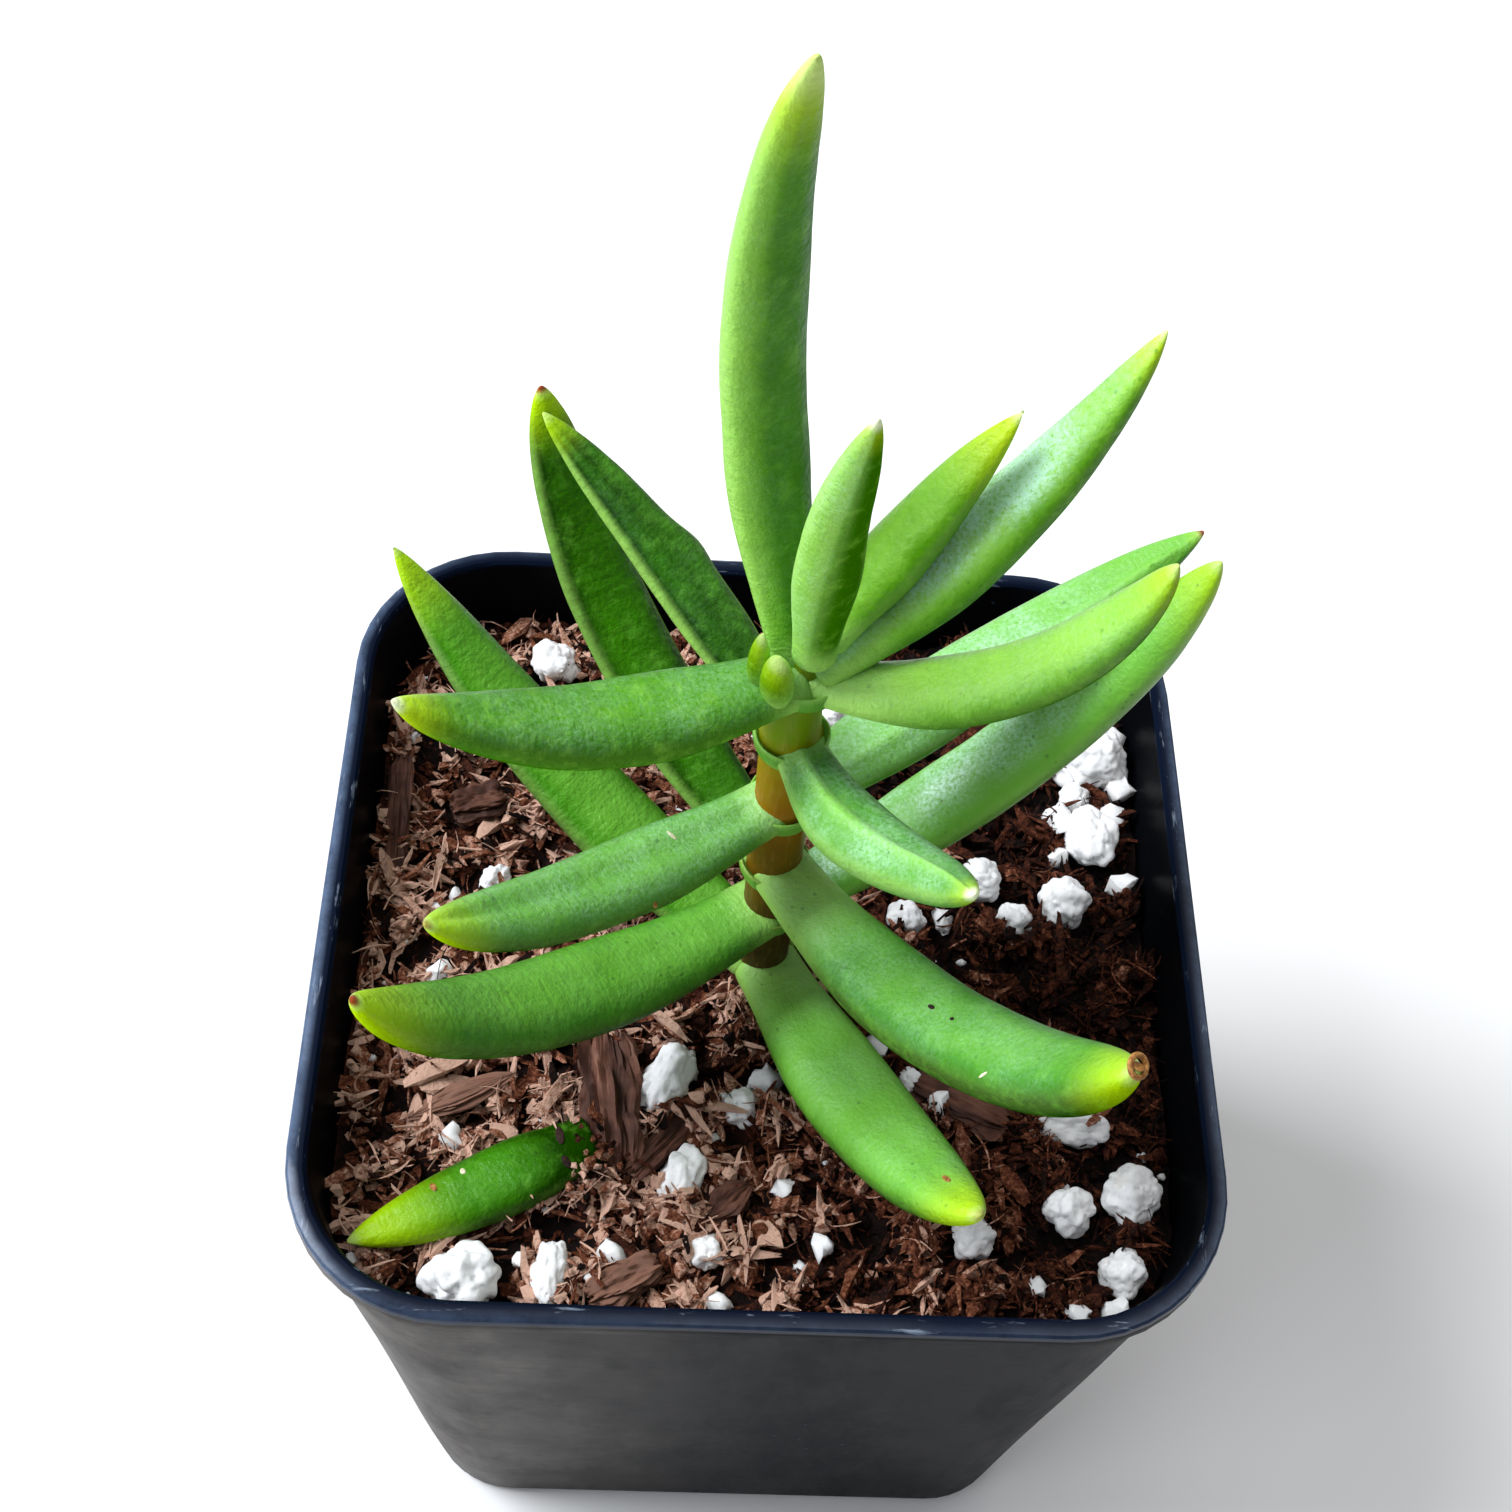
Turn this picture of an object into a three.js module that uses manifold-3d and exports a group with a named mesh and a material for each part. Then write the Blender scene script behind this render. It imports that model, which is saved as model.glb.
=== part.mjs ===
// Potted miniature pine tree crassula: a young Crassula tetragona in a small square nursery pot.
// Lengths are millimetres and angles are degrees. +Z is up, the front is -Y, and the origin is the centre
// of the pot's underside. A leaf's turn is its compass direction seen from above, counted from +X.

import * as THREE from 'three';
import { mergeVertices } from 'three/addons/utils/BufferGeometryUtils.js';
import Module from 'manifold-3d';

const wasm = await Module();
wasm.setup();

// Clearance between neighbouring pieces
const GAP = 0.3;

// Edges shorter than this, left where one piece is cut by another, are closed up
const SLIVER = 0.02;

// Square nursery pot
const POT_HEIGHT = 56;
const RIM_HALF = 28.5;
const RIM_CORNER = 10.4;
const LIP_HEIGHT = 1.8;
const LIP_STEP = 0.4;
const BASE_HALF = 23.3;
const BASE_CORNER = 6.6;
const BASE_ROUNDING = 1.2;
const WALL = 0.8;
const STAND_HEIGHT = 1.2;
const STAND_WIDTH = 1.6;
const DRAIN_RADIUS = 2.6;
const DRAIN_SPACING = 13;

// Potting mix
const SOIL_LEVEL = 49.5;
const SOIL_MOUND = 0.8;
const SOIL_RELIEF = 1.5;
const SOIL_LUMP = 4.2;
const SOIL_RINGS = 12;
const SOIL_SIDES = 56;
const SOIL_FINE = 2.3;

// Stem, upright up to where it leans to the side, with a ring at each leaf pair
const STEM_Y = -3;
const STEM_ROOT_DEPTH = 12;
const STEM_RADIUS = 1.65;
const ROOT_THINNING = 0.45;
const NODE_SWELL = 0.22;
const NODE_REACH = 1;
const NODE_HEIGHTS = [54.2, 61, 66.2, 72.9, 79.6, 85.3, 86.3, 88.6];
const LEAN_START = 82;
const LEAN_SLOPE = 0.1;
const STEM_TAPER_START = 80;
const STEM_TOP = 89.4;
const STEM_TOP_RADIUS = 0.7;
const STEM_SIDES = 16;
const STEM_RINGED_NODES = 6;
const STEM_TOP_RINGS = [86.4, 88];

// Leaves: stem node, compass turn and sweep, rise at the foot and at the tip, length, width and bluntness.
// The buds sit further out from the stem's axis than the leaves' feet. Nodes are counted from the lowest.
const LEAVES = [
  { name: 'leaf_1_front', node: 1, turn: -62, sweep: 1, rise: [-4, 53], length: 27, width: 6.4, blunt: 4 },
  { name: 'leaf_1_back', node: 1, turn: 141, sweep: 2, rise: [6, 52], length: 35.5, width: 6.1, blunt: 3 },
  { name: 'leaf_2_left', node: 2, turn: 212, sweep: 4, rise: [-9, 68], length: 32.5, width: 6.1, blunt: 4 },
  { name: 'leaf_2_right', node: 2, turn: 28, sweep: -9, rise: [11, 70], length: 35.5, width: 5.3, blunt: 5.5 },
  { name: 'leaf_3_front', node: 3, turn: -54, sweep: 11, rise: [-7, 67], length: 31.5, width: 5.8, blunt: 7 },
  { name: 'leaf_3_back', node: 3, turn: 129, sweep: -4, rise: [6, 74], length: 32.5, width: 5.1, blunt: 5.5 },
  { name: 'leaf_4_left', node: 4, turn: 209, sweep: 15, rise: [-14, 54], length: 25, width: 5.1, blunt: 4 },
  { name: 'leaf_4_right', node: 4, turn: 37, sweep: -12, rise: [7, 26], length: 29, width: 5.4, blunt: 3 },
  { name: 'leaf_5_front', node: 5, turn: -59, sweep: 3, rise: [-9, 57], length: 17.5, width: 4.5, blunt: 3 },
  { name: 'leaf_5_back', node: 5, turn: 128, sweep: 20, rise: [25, 34], length: 21.5, width: 4, blunt: 3 },
  { name: 'leaf_6_left', node: 6, turn: 200, sweep: 2, rise: [-12, 50], length: 23.2, width: 5.4, blunt: 3 },
  { name: 'leaf_6_right', node: 6, turn: -17, sweep: 32, rise: [1, 73], length: 21.8, width: 4.4, blunt: 4 },
  { name: 'leaf_8_front', node: 8, turn: -98, sweep: 29, rise: [84, 71], length: 23, width: 3.5, blunt: 3 },
  { name: 'leaf_9_tip', node: 8, turn: 30, sweep: 0, rise: [56, 56], length: 3.1, width: 1.5, blunt: 3 },
  { name: 'leaf_8_right', node: 8, turn: 36, sweep: -7, rise: [47, 48], length: 15, width: 4, blunt: 2.3 },
  { name: 'leaf_7_right', node: 7, turn: 24, sweep: 2, rise: [30, 66], length: 24.8, width: 5, blunt: 2.3 },
  { name: 'leaf_7_back', node: 7, turn: 126, sweep: -4, rise: [63, 107], length: 36.5, width: 4.7, blunt: 4 },
  { name: 'bud_left', node: 6, out: 2.6, turn: 198, sweep: 0, rise: [90, 90], length: 4.4, width: 1.7, blunt: 3 },
  { name: 'bud_front', node: 6, out: 2.4, turn: 229, sweep: 0, rise: [90, 90], length: 3.8, width: 2, blunt: 5 },
];
const OLD_NODES = 5;
const LEAF_SIDES = 12;
const LEAF_RINGS = 14;
const LEAF_STEPS = 56;
const LEAF_START = 0.9;
const LEAF_FOOT_WIDTH = 0.7;
const LEAF_FULL_AT = 0.34;
const LEAF_UPPER = 0.3;
const LEAF_LOWER = 0.44;
const LEAF_TIP_ROUNDING = 0.7;

// Loose leaf lying in the mix, its foot under a bark chip
const FALLEN_LEAF = { name: 'leaf_fallen', turn: 209, sweep: -3, rise: [-4, 8], length: 16.5, width: 5, blunt: 3 };
const FALLEN_FOOT = [-10.2, -14.9];
const FALLEN_SINK = 0.2;

// Bark chips: middle, length, width, thickness, heading and tilt
const BARK = [
  { at: [-9.4, -12.2], size: [8.8, 3.6, 2.6], heading: 98, tilt: 4 },
  { at: [-5.7, -14.4], size: [7, 1.8, 1.3], heading: 52, tilt: -6 },
  { at: [-8, -24], size: [4.6, 2.2, 1.6], heading: 28, tilt: 8 },
  { at: [-18.9, -12.2], size: [6.6, 2.2, 1.1], heading: 27, tilt: 5 },
  { at: [13.2, -11.3], size: [6.2, 3.2, 1.6], heading: -24, tilt: -5 },
  { at: [-25, 8.4], size: [9.4, 1.5, 1.4], heading: 92, tilt: 6 },
  { at: [-19.6, 9.8], size: [3.6, 2.8, 2.2], heading: 20, tilt: 0 },
  { at: [-1.8, -18.6], size: [3.4, 2.2, 1.4], heading: 40, tilt: 10 },
];
const BARK_SIDES = 8;
const BARK_RINGS = 7;
const BARK_SMOOTHEST = 0.84;
const BARK_ROUGHNESS = 0.32;
const BARK_LIFT = 0.3;

// Perlite grains: middle and width, and where a grain is long its length and turn
const PERLITE = [
  { at: [-17.9, -24.1], size: 4.2 },
  { at: [-12.6, -23.4], size: 2.2, long: 3.8, turn: 0 },
  { at: [-3.1, -21.9], size: 2.1 },
  { at: [-4.6, -17], size: 2.7, long: 4, turn: -13 },
  { at: [-6, -10.6], size: 3.2, long: 5.6, turn: -27 },
  { at: [-1.1, -12.3], size: 2.3 },
  { at: [13.6, -20.4], size: 2.6 },
  { at: [19.7, -18.5], size: 2.9 },
  { at: [23.7, -17.4], size: 3.6 },
  { at: [22.7, -22.4], size: 2.9 },
  { at: [20.3, -12.6], size: 2.6, long: 4.4, turn: 80 },
  { at: [9.9, -10], size: 1.9 },
  { at: [15.4, 5.4], size: 2.8 },
  { at: [17.4, 2.3], size: 2.6 },
  { at: [21, 3.8], size: 3.4 },
  { at: [10, 2.2], size: 2.4 },
  { at: [23.2, 9], size: 3.6, long: 4.4, turn: 10 },
  { at: [22.3, 12.5], size: 2.2 },
  { at: [24, 15.6], size: 4.6 },
  { at: [-15.1, 22.4], size: 3.2 },
  { at: [-18, 4], size: 2 },
  { at: [5, 18.9], size: 2.2 },
];
const PERLITE_ROUGHNESS = 0.16;
const PERLITE_LIFT = 0.18;

// Finishes
const POT_FINISH = { color: 0x34363a, roughness: 0.55 };
const SOIL_FINISH = { color: 0x5d3b2c, roughness: 0.95 };
const BARK_FINISH = { color: 0x7a4a38, roughness: 0.9 };
const PERLITE_FINISH = { color: 0xf0f0ec, roughness: 0.9 };
const STEM_FINISH = { color: 0x9a7420, roughness: 0.6 };
const LEAF_FINISH = { color: 0x5d9f3c, roughness: 0.4 };
const YOUNG_LEAF_FINISH = { color: 0x86bb45, roughness: 0.4 };

const SEED = 27;

function radians(degrees) {
  return (degrees * Math.PI) / 180;
}

function mix(a, b, t) {
  return a + (b - a) * t;
}

function smooth(t) {
  const clamped = Math.min(Math.max(t, 0), 1);
  return clamped * clamped * (3 - 2 * clamped);
}

// A repeatable number from 0 to 1 for each whole-number place
function lattice(i, j, k) {
  let h = Math.imul(i, 374761393) + Math.imul(j, 668265263) + Math.imul(k + SEED, 1274126177);
  h = Math.imul(h ^ (h >>> 13), 1103515245);
  h ^= h >>> 16;
  return (h >>> 0) / 4294967296;
}

// Smooth lumps from -1 to 1, one lump to each unit of x and y
function lumps(x, y, layer) {
  const i = Math.floor(x);
  const j = Math.floor(y);
  const u = smooth(x - i);
  const v = smooth(y - j);
  const front = mix(lattice(i, j, layer), lattice(i + 1, j, layer), u);
  const back = mix(lattice(i, j + 1, layer), lattice(i + 1, j + 1, layer), u);
  return 2 * mix(front, back, v) - 1;
}

// A closed surface through rings that all have as many points, with a point that closes each end
function loft(start, rings, end) {
  const count = rings[0].length;
  const points = [start, ...rings.flat(), end];
  const faces = [];
  const last = points.length - 1;
  for (let k = 0; k < count; k += 1) {
    const next = (k + 1) % count;
    faces.push(0, 1 + next, 1 + k);
    for (let r = 0; r < rings.length - 1; r += 1) {
      const low = 1 + r * count;
      const high = low + count;
      faces.push(low + k, low + next, high + next);
      faces.push(low + k, high + next, high + k);
    }
    faces.push(last, last - count + k, last - count + next);
  }
  const geometry = new THREE.BufferGeometry().setFromPoints(points);
  geometry.setIndex(faces);
  return geometry;
}

function solid(geometry) {
  const bare = geometry.clone();
  bare.deleteAttribute('normal');
  bare.deleteAttribute('uv');
  const merged = mergeVertices(bare, 1e-5);
  return new wasm.Manifold(new wasm.Mesh({
    numProp: 3,
    vertProperties: new Float32Array(merged.attributes.position.array),
    triVerts: new Uint32Array(merged.index.array),
  }));
}

// The largest body of a cut solid, without loose scraps
function largest(body) {
  const bodies = body.decompose();
  return bodies.reduce((best, one) => (one.volume() > best.volume() ? one : best));
}

const plant = new THREE.Group();
const placed = [];

function boxesMeet(a, b) {
  return [0, 1, 2].every((axis) => a.min[axis] < b.max[axis] && b.min[axis] < a.max[axis]);
}

// Adds a piece to the object. What was placed before keeps its shape and its clearance, and is cut out of it.
function place(name, body, grown, finish) {
  let shape = body;
  for (const earlier of placed) {
    if (boxesMeet(shape.boundingBox(), earlier.boundingBox())) {
      shape = shape.subtract(earlier);
    }
  }
  shape = largest(shape).simplify(SLIVER);
  const { vertProperties, triVerts } = shape.getMesh();
  const geometry = new THREE.BufferGeometry();
  geometry.setAttribute('position', new THREE.BufferAttribute(vertProperties, 3));
  geometry.setIndex(new THREE.BufferAttribute(triVerts, 1));
  geometry.computeVertexNormals();
  const mesh = new THREE.Mesh(geometry, new THREE.MeshStandardMaterial({ ...finish, metalness: 0 }));
  mesh.name = name;
  plant.add(mesh);
  if (grown) {
    placed.push(grown);
  }
}

// Pot

function roundedSquare(half, corner, z) {
  const arcSteps = 6;
  const ring = [];
  for (let quarter = 0; quarter < 4; quarter += 1) {
    const middle = radians(45 + 90 * quarter);
    const x = Math.sign(Math.cos(middle)) * (half - corner);
    const y = Math.sign(Math.sin(middle)) * (half - corner);
    for (let step = 0; step <= arcSteps; step += 1) {
      const angle = radians(90 * quarter + (90 * step) / arcSteps);
      ring.push(new THREE.Vector3(x + corner * Math.cos(angle), y + corner * Math.sin(angle), z));
    }
  }
  return ring;
}

// The pot's outer wall below the lip, moved inward by inset
function wallRing(z, inset) {
  const t = z / POT_HEIGHT;
  const half = mix(BASE_HALF, RIM_HALF - LIP_STEP, t) - inset;
  const corner = mix(BASE_CORNER, RIM_CORNER, t) - inset;
  return roundedSquare(half, corner, z);
}

function centre(z) {
  return new THREE.Vector3(0, 0, z);
}

const LIP_FOOT = POT_HEIGHT - LIP_HEIGHT;
const FLOOR_TOP = STAND_HEIGHT + WALL;

function makePot() {
  const outside = loft(centre(0), [
    wallRing(0, BASE_ROUNDING / 2),
    wallRing(BASE_ROUNDING, 0),
    wallRing(LIP_FOOT, 0),
    roundedSquare(RIM_HALF, RIM_CORNER, LIP_FOOT + LIP_STEP),
    roundedSquare(RIM_HALF, RIM_CORNER, POT_HEIGHT - LIP_STEP / 2),
    roundedSquare(RIM_HALF - LIP_STEP / 2, RIM_CORNER - LIP_STEP / 2, POT_HEIGHT),
  ], centre(POT_HEIGHT));
  const above = POT_HEIGHT + 1;
  const inside = loft(centre(FLOOR_TOP), [
    wallRing(FLOOR_TOP, WALL + BASE_ROUNDING),
    wallRing(FLOOR_TOP + BASE_ROUNDING, WALL),
    wallRing(LIP_FOOT, WALL),
    wallRing(above, WALL - LIP_STEP / 2),
  ], centre(above));
  const recess = loft(centre(-1), [
    wallRing(-1, STAND_WIDTH),
    wallRing(STAND_HEIGHT, STAND_WIDTH),
  ], centre(STAND_HEIGHT));
  let pot = solid(outside).subtract(solid(inside)).subtract(solid(recess));
  const drains = [[0, 0]];
  for (const side of [[1, 1], [-1, 1], [-1, -1], [1, -1]]) {
    drains.push([side[0] * DRAIN_SPACING, side[1] * DRAIN_SPACING]);
  }
  for (const [x, y] of drains) {
    const drain = new THREE.CylinderGeometry(DRAIN_RADIUS, DRAIN_RADIUS, 2 * FLOOR_TOP, 16);
    drain.rotateX(radians(90));
    drain.translate(x, y, FLOOR_TOP);
    pot = pot.subtract(solid(drain));
  }
  place('pot', pot, null, POT_FINISH);
}

// Potting mix

function soilHeight(x, y) {
  const fromStem = Math.hypot(x, y - STEM_Y) / RIM_HALF;
  const mound = SOIL_MOUND * (1 - smooth(fromStem));
  const coarse = lumps(x / SOIL_LUMP, y / SOIL_LUMP, 0);
  const fine = lumps((SOIL_FINE * x) / SOIL_LUMP, (SOIL_FINE * y) / SOIL_LUMP, 1);
  return SOIL_LEVEL + mound + SOIL_RELIEF * (0.5 * coarse + 0.25 * fine);
}

function makeSoil() {
  const inset = WALL + GAP;
  const low = FLOOR_TOP + GAP;
  const rings = [
    wallRing(low, inset + BASE_ROUNDING),
    wallRing(low + BASE_ROUNDING, inset),
  ];
  const edge = wallRing(SOIL_LEVEL, inset);
  const outline = resample(edge, SOIL_SIDES);
  const lower = rings.map((ring) => resample(ring, SOIL_SIDES));
  const top = [];
  for (let r = 0; r < SOIL_RINGS; r += 1) {
    const t = 1 - r / SOIL_RINGS;
    top.push(outline.map((p) => new THREE.Vector3(p.x * t, p.y * t, soilHeight(p.x * t, p.y * t))));
  }
  const body = loft(centre(low), [...lower, ...top], centre(soilHeight(0, 0)));
  place('soil', solid(body), null, SOIL_FINISH);
}

// The same closed loop with evenly spaced points
function resample(ring, count) {
  const loop = [...ring, ring[0]];
  const lengths = [0];
  for (let k = 1; k < loop.length; k += 1) {
    lengths.push(lengths[k - 1] + loop[k].distanceTo(loop[k - 1]));
  }
  const total = lengths[lengths.length - 1];
  const result = [];
  let k = 1;
  for (let n = 0; n < count; n += 1) {
    const want = (total * n) / count;
    while (lengths[k] < want) {
      k += 1;
    }
    const t = (want - lengths[k - 1]) / (lengths[k] - lengths[k - 1]);
    result.push(loop[k - 1].clone().lerp(loop[k], t));
  }
  return result;
}

// Stem

const STEM_FOOT = SOIL_LEVEL - STEM_ROOT_DEPTH;
const RINGED_NODES = NODE_HEIGHTS.slice(0, STEM_RINGED_NODES);

function stemAxis(z) {
  return new THREE.Vector3(LEAN_SLOPE * Math.max(z - LEAN_START, 0), STEM_Y, z);
}

function stemRadius(z) {
  const taper = smooth((z - STEM_TAPER_START) / (STEM_TOP - STEM_TAPER_START));
  const root = smooth((z - STEM_FOOT) / STEM_ROOT_DEPTH);
  const plain = mix(STEM_RADIUS, STEM_TOP_RADIUS, taper) * mix(ROOT_THINNING, 1, root);
  const nearest = Math.min(...RINGED_NODES.map((node) => Math.abs(z - node)));
  return plain + NODE_SWELL * Math.max(1 - nearest / NODE_REACH, 0);
}

function circle(middle, radius, count) {
  const ring = [];
  for (let k = 0; k < count; k += 1) {
    const angle = (2 * Math.PI * k) / count;
    ring.push(new THREE.Vector3(radius * Math.cos(angle), radius * Math.sin(angle), 0).add(middle));
  }
  return ring;
}

function stemBody(extra) {
  const heights = [STEM_FOOT, mix(STEM_FOOT, SOIL_LEVEL, 0.5), SOIL_LEVEL];
  for (const node of RINGED_NODES) {
    heights.push(node - NODE_REACH, node, node + NODE_REACH);
  }
  heights.push(...STEM_TOP_RINGS);
  const rings = heights.map((z) => circle(stemAxis(z), stemRadius(z) + extra, STEM_SIDES));
  return solid(loft(stemAxis(STEM_FOOT - 0.5 - extra), rings, stemAxis(STEM_TOP + extra)));
}

// Leaves

// Where a leaf's middle line runs: its points, directions and sideways directions from foot to tip
function midline(leaf, foot) {
  const line = [];
  const at = foot.clone();
  const step = leaf.length / LEAF_STEPS;
  for (let n = 0; n <= LEAF_STEPS; n += 1) {
    const t = n / LEAF_STEPS;
    const turn = radians(leaf.turn + leaf.sweep * t);
    const rise = radians(mix(leaf.rise[0], leaf.rise[1], t));
    const level = Math.cos(rise);
    const along = new THREE.Vector3(level * Math.cos(turn), level * Math.sin(turn), Math.sin(rise));
    const side = new THREE.Vector3(-Math.sin(turn), Math.cos(turn), 0);
    line.push({ at: at.clone(), along, side, up: along.clone().cross(side) });
    at.addScaledVector(along, step);
  }
  return line;
}

function leafWidth(leaf, t) {
  const foot = mix(LEAF_FOOT_WIDTH, 1, smooth(t / LEAF_FULL_AT));
  const tip = (1 - t ** leaf.blunt) ** LEAF_TIP_ROUNDING;
  return leaf.width * foot * tip;
}

function leafBody(leaf, foot, extra) {
  const line = midline(leaf, foot);
  const rings = [];
  for (let r = 0; r < LEAF_RINGS; r += 1) {
    const n = Math.round(LEAF_STEPS * Math.sin(radians((90 * r) / LEAF_RINGS)));
    const { at, side, up } = line[n];
    const width = leafWidth(leaf, n / LEAF_STEPS);
    const ring = [];
    for (let k = 0; k < LEAF_SIDES; k += 1) {
      const angle = (2 * Math.PI * k) / LEAF_SIDES;
      const height = Math.sin(angle) > 0 ? LEAF_UPPER : LEAF_LOWER;
      const across = (width / 2 + extra) * Math.cos(angle);
      const above = (width * height + extra) * Math.sin(angle);
      ring.push(at.clone().addScaledVector(side, across).addScaledVector(up, above));
    }
    rings.push(ring);
  }
  const first = line[0];
  const last = line[LEAF_STEPS];
  const end = last.at.clone().addScaledVector(last.along, extra);
  return solid(loft(first.at, rings, end));
}

function makeLeaf(leaf) {
  const turn = radians(leaf.turn);
  const outward = new THREE.Vector3(Math.cos(turn), Math.sin(turn), 0);
  const foot = stemAxis(NODE_HEIGHTS[leaf.node - 1]).addScaledVector(outward, leaf.out ?? LEAF_START);
  const finish = leaf.node > OLD_NODES ? YOUNG_LEAF_FINISH : LEAF_FINISH;
  place(leaf.name, leafBody(leaf, foot, 0), leafBody(leaf, foot, GAP), finish);
}

function makeFallenLeaf() {
  const [x, y] = FALLEN_FOOT;
  const foot = new THREE.Vector3(x, y, SOIL_LEVEL + FALLEN_LEAF.width * LEAF_LOWER - FALLEN_SINK);
  place(FALLEN_LEAF.name, leafBody(FALLEN_LEAF, foot, 0), leafBody(FALLEN_LEAF, foot, GAP), LEAF_FINISH);
}

// Bark chips and perlite grains

function barkBody(chip, index, extra) {
  const [length, width, thickness] = chip.size;
  const rings = [];
  for (let r = 0; r < BARK_RINGS; r += 1) {
    const t = (r + 0.5) / BARK_RINGS;
    const taper = Math.sqrt(Math.sin(Math.PI * t));
    const x = length * (t - 0.5);
    const ring = [];
    for (let k = 0; k < BARK_SIDES; k += 1) {
      const angle = (2 * Math.PI * (k + 0.5)) / BARK_SIDES;
      const rough = BARK_SMOOTHEST + BARK_ROUGHNESS * lattice(r, k, index);
      const across = (width / 2) * taper * rough + extra;
      const above = (thickness / 2) * taper * rough + extra;
      ring.push(new THREE.Vector3(x, across * Math.cos(angle), above * Math.sin(angle)));
    }
    rings.push(ring);
  }
  const reach = length * (0.5 - 0.25 / BARK_RINGS) + extra;
  const body = loft(new THREE.Vector3(-reach, 0, 0), rings, new THREE.Vector3(reach, 0, 0));
  const [x, y] = chip.at;
  body.rotateY(-radians(chip.tilt));
  body.rotateZ(radians(chip.heading));
  body.translate(x, y, SOIL_LEVEL + SOIL_MOUND / 2 + BARK_LIFT * thickness);
  return solid(body);
}

function grainBody(grain, index, extra) {
  const ball = new THREE.IcosahedronGeometry(1, 1);
  ball.deleteAttribute('normal');
  ball.deleteAttribute('uv');
  const merged = mergeVertices(ball, 1e-4);
  const position = merged.attributes.position;
  const long = grain.long ?? grain.size;
  const point = new THREE.Vector3();
  for (let k = 0; k < position.count; k += 1) {
    point.fromBufferAttribute(position, k).normalize();
    const rough = 1 - PERLITE_ROUGHNESS * lattice(k, index, 7);
    const radius = rough * (grain.size / 2) + extra;
    const stretch = (rough * long) / 2 + extra;
    position.setXYZ(k, point.x * radius, point.y * stretch, point.z * radius);
  }
  merged.rotateZ(radians(grain.turn ?? 0));
  const [x, y] = grain.at;
  merged.translate(x, y, SOIL_LEVEL + SOIL_MOUND / 2 + PERLITE_LIFT * grain.size);
  return solid(merged);
}

place('stem', stemBody(0), stemBody(GAP), STEM_FINISH);
LEAVES.forEach(makeLeaf);
makeFallenLeaf();
BARK.forEach((chip, index) => {
  place(`bark_${index + 1}`, barkBody(chip, index, 0), barkBody(chip, index, GAP), BARK_FINISH);
});
PERLITE.forEach((grain, index) => {
  place(`perlite_${index + 1}`, grainBody(grain, index, 0), grainBody(grain, index, GAP), PERLITE_FINISH);
});
makeSoil();
placed.length = 0;
makePot();

export default plant;
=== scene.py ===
# %% [markdown]
# # A potted miniature pine tree crassula
# A young crassula with finger-like leaves in opposite pairs grows in a small square nursery pot. The packed
# model gives the frame: each piece made here takes the place of one of its nodes, in the same place and size,
# with the finer form and the finish of the real thing.

# %% Load the frame
import math
import random

import bpy
from mathutils import Matrix, Vector, noise


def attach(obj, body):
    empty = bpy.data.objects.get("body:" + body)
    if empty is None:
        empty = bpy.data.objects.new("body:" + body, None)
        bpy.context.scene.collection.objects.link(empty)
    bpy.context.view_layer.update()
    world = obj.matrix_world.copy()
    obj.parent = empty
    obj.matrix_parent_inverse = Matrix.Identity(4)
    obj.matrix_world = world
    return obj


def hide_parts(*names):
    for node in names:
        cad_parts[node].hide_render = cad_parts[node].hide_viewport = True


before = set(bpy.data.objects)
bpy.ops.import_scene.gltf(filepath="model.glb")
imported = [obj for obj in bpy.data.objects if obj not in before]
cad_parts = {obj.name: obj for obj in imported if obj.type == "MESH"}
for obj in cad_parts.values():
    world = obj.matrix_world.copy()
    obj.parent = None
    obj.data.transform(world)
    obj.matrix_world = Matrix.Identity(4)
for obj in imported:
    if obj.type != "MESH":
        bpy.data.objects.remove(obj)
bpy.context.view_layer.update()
MM = 0.001

# %% [markdown]
# Blender's operators work on whatever is selected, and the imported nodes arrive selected. So every piece
# starts from an empty selection, and it ends with its place in its mesh and its own object at the origin.

# %% Starting a piece
def clear_selection():
    bpy.ops.object.select_all(action="DESELECT")


def choose(piece):
    """Makes the piece the only one selected, and the active one."""
    clear_selection()
    piece.select_set(True)
    bpy.context.view_layer.objects.active = piece


def settle(piece):
    """Puts the piece's place, turn and size into its mesh."""
    choose(piece)
    bpy.ops.object.transform_apply(location=True, rotation=True, scale=True)


print("packed nodes selected at the start:", len(bpy.context.selected_objects))

# %% [markdown]
# The photograph was taken from above and in front, with the phone held over the plant and turned a little. A
# 50 mm lens on a 36 mm wide sensor gives its perspective, and the camera has no shift and no depth of field.

# %% Camera
CAMERA_AT = Vector((-7.12, -68.66, 174.70)) * MM
CAMERA_DOWN = math.radians(55.92)
CAMERA_TURN = math.radians(4.63)
CAMERA_ROLL = math.radians(6.25)
CAMERA_LENS = 50.0
CAMERA_SENSOR = 36.0

ahead = Vector((
    math.sin(CAMERA_TURN) * math.cos(CAMERA_DOWN),
    math.cos(CAMERA_TURN) * math.cos(CAMERA_DOWN),
    -math.sin(CAMERA_DOWN),
))
level = Vector((math.cos(CAMERA_TURN), -math.sin(CAMERA_TURN), 0))
upright = level.cross(ahead)
to_right = level * math.cos(CAMERA_ROLL) + upright * math.sin(CAMERA_ROLL)
to_top = upright * math.cos(CAMERA_ROLL) - level * math.sin(CAMERA_ROLL)

clear_selection()
bpy.ops.object.camera_add()
camera = bpy.context.object
camera.name = "camera"
turn = Matrix((to_right, to_top, -ahead)).transposed()
camera.matrix_world = Matrix.Translation(CAMERA_AT) @ turn.to_4x4()
camera.data.lens = CAMERA_LENS
camera.data.sensor_width = CAMERA_SENSOR
camera.data.clip_start = 1 * MM
bpy.context.scene.camera = camera
print("the camera stands", round(CAMERA_AT.z / MM), "mm up")

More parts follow.
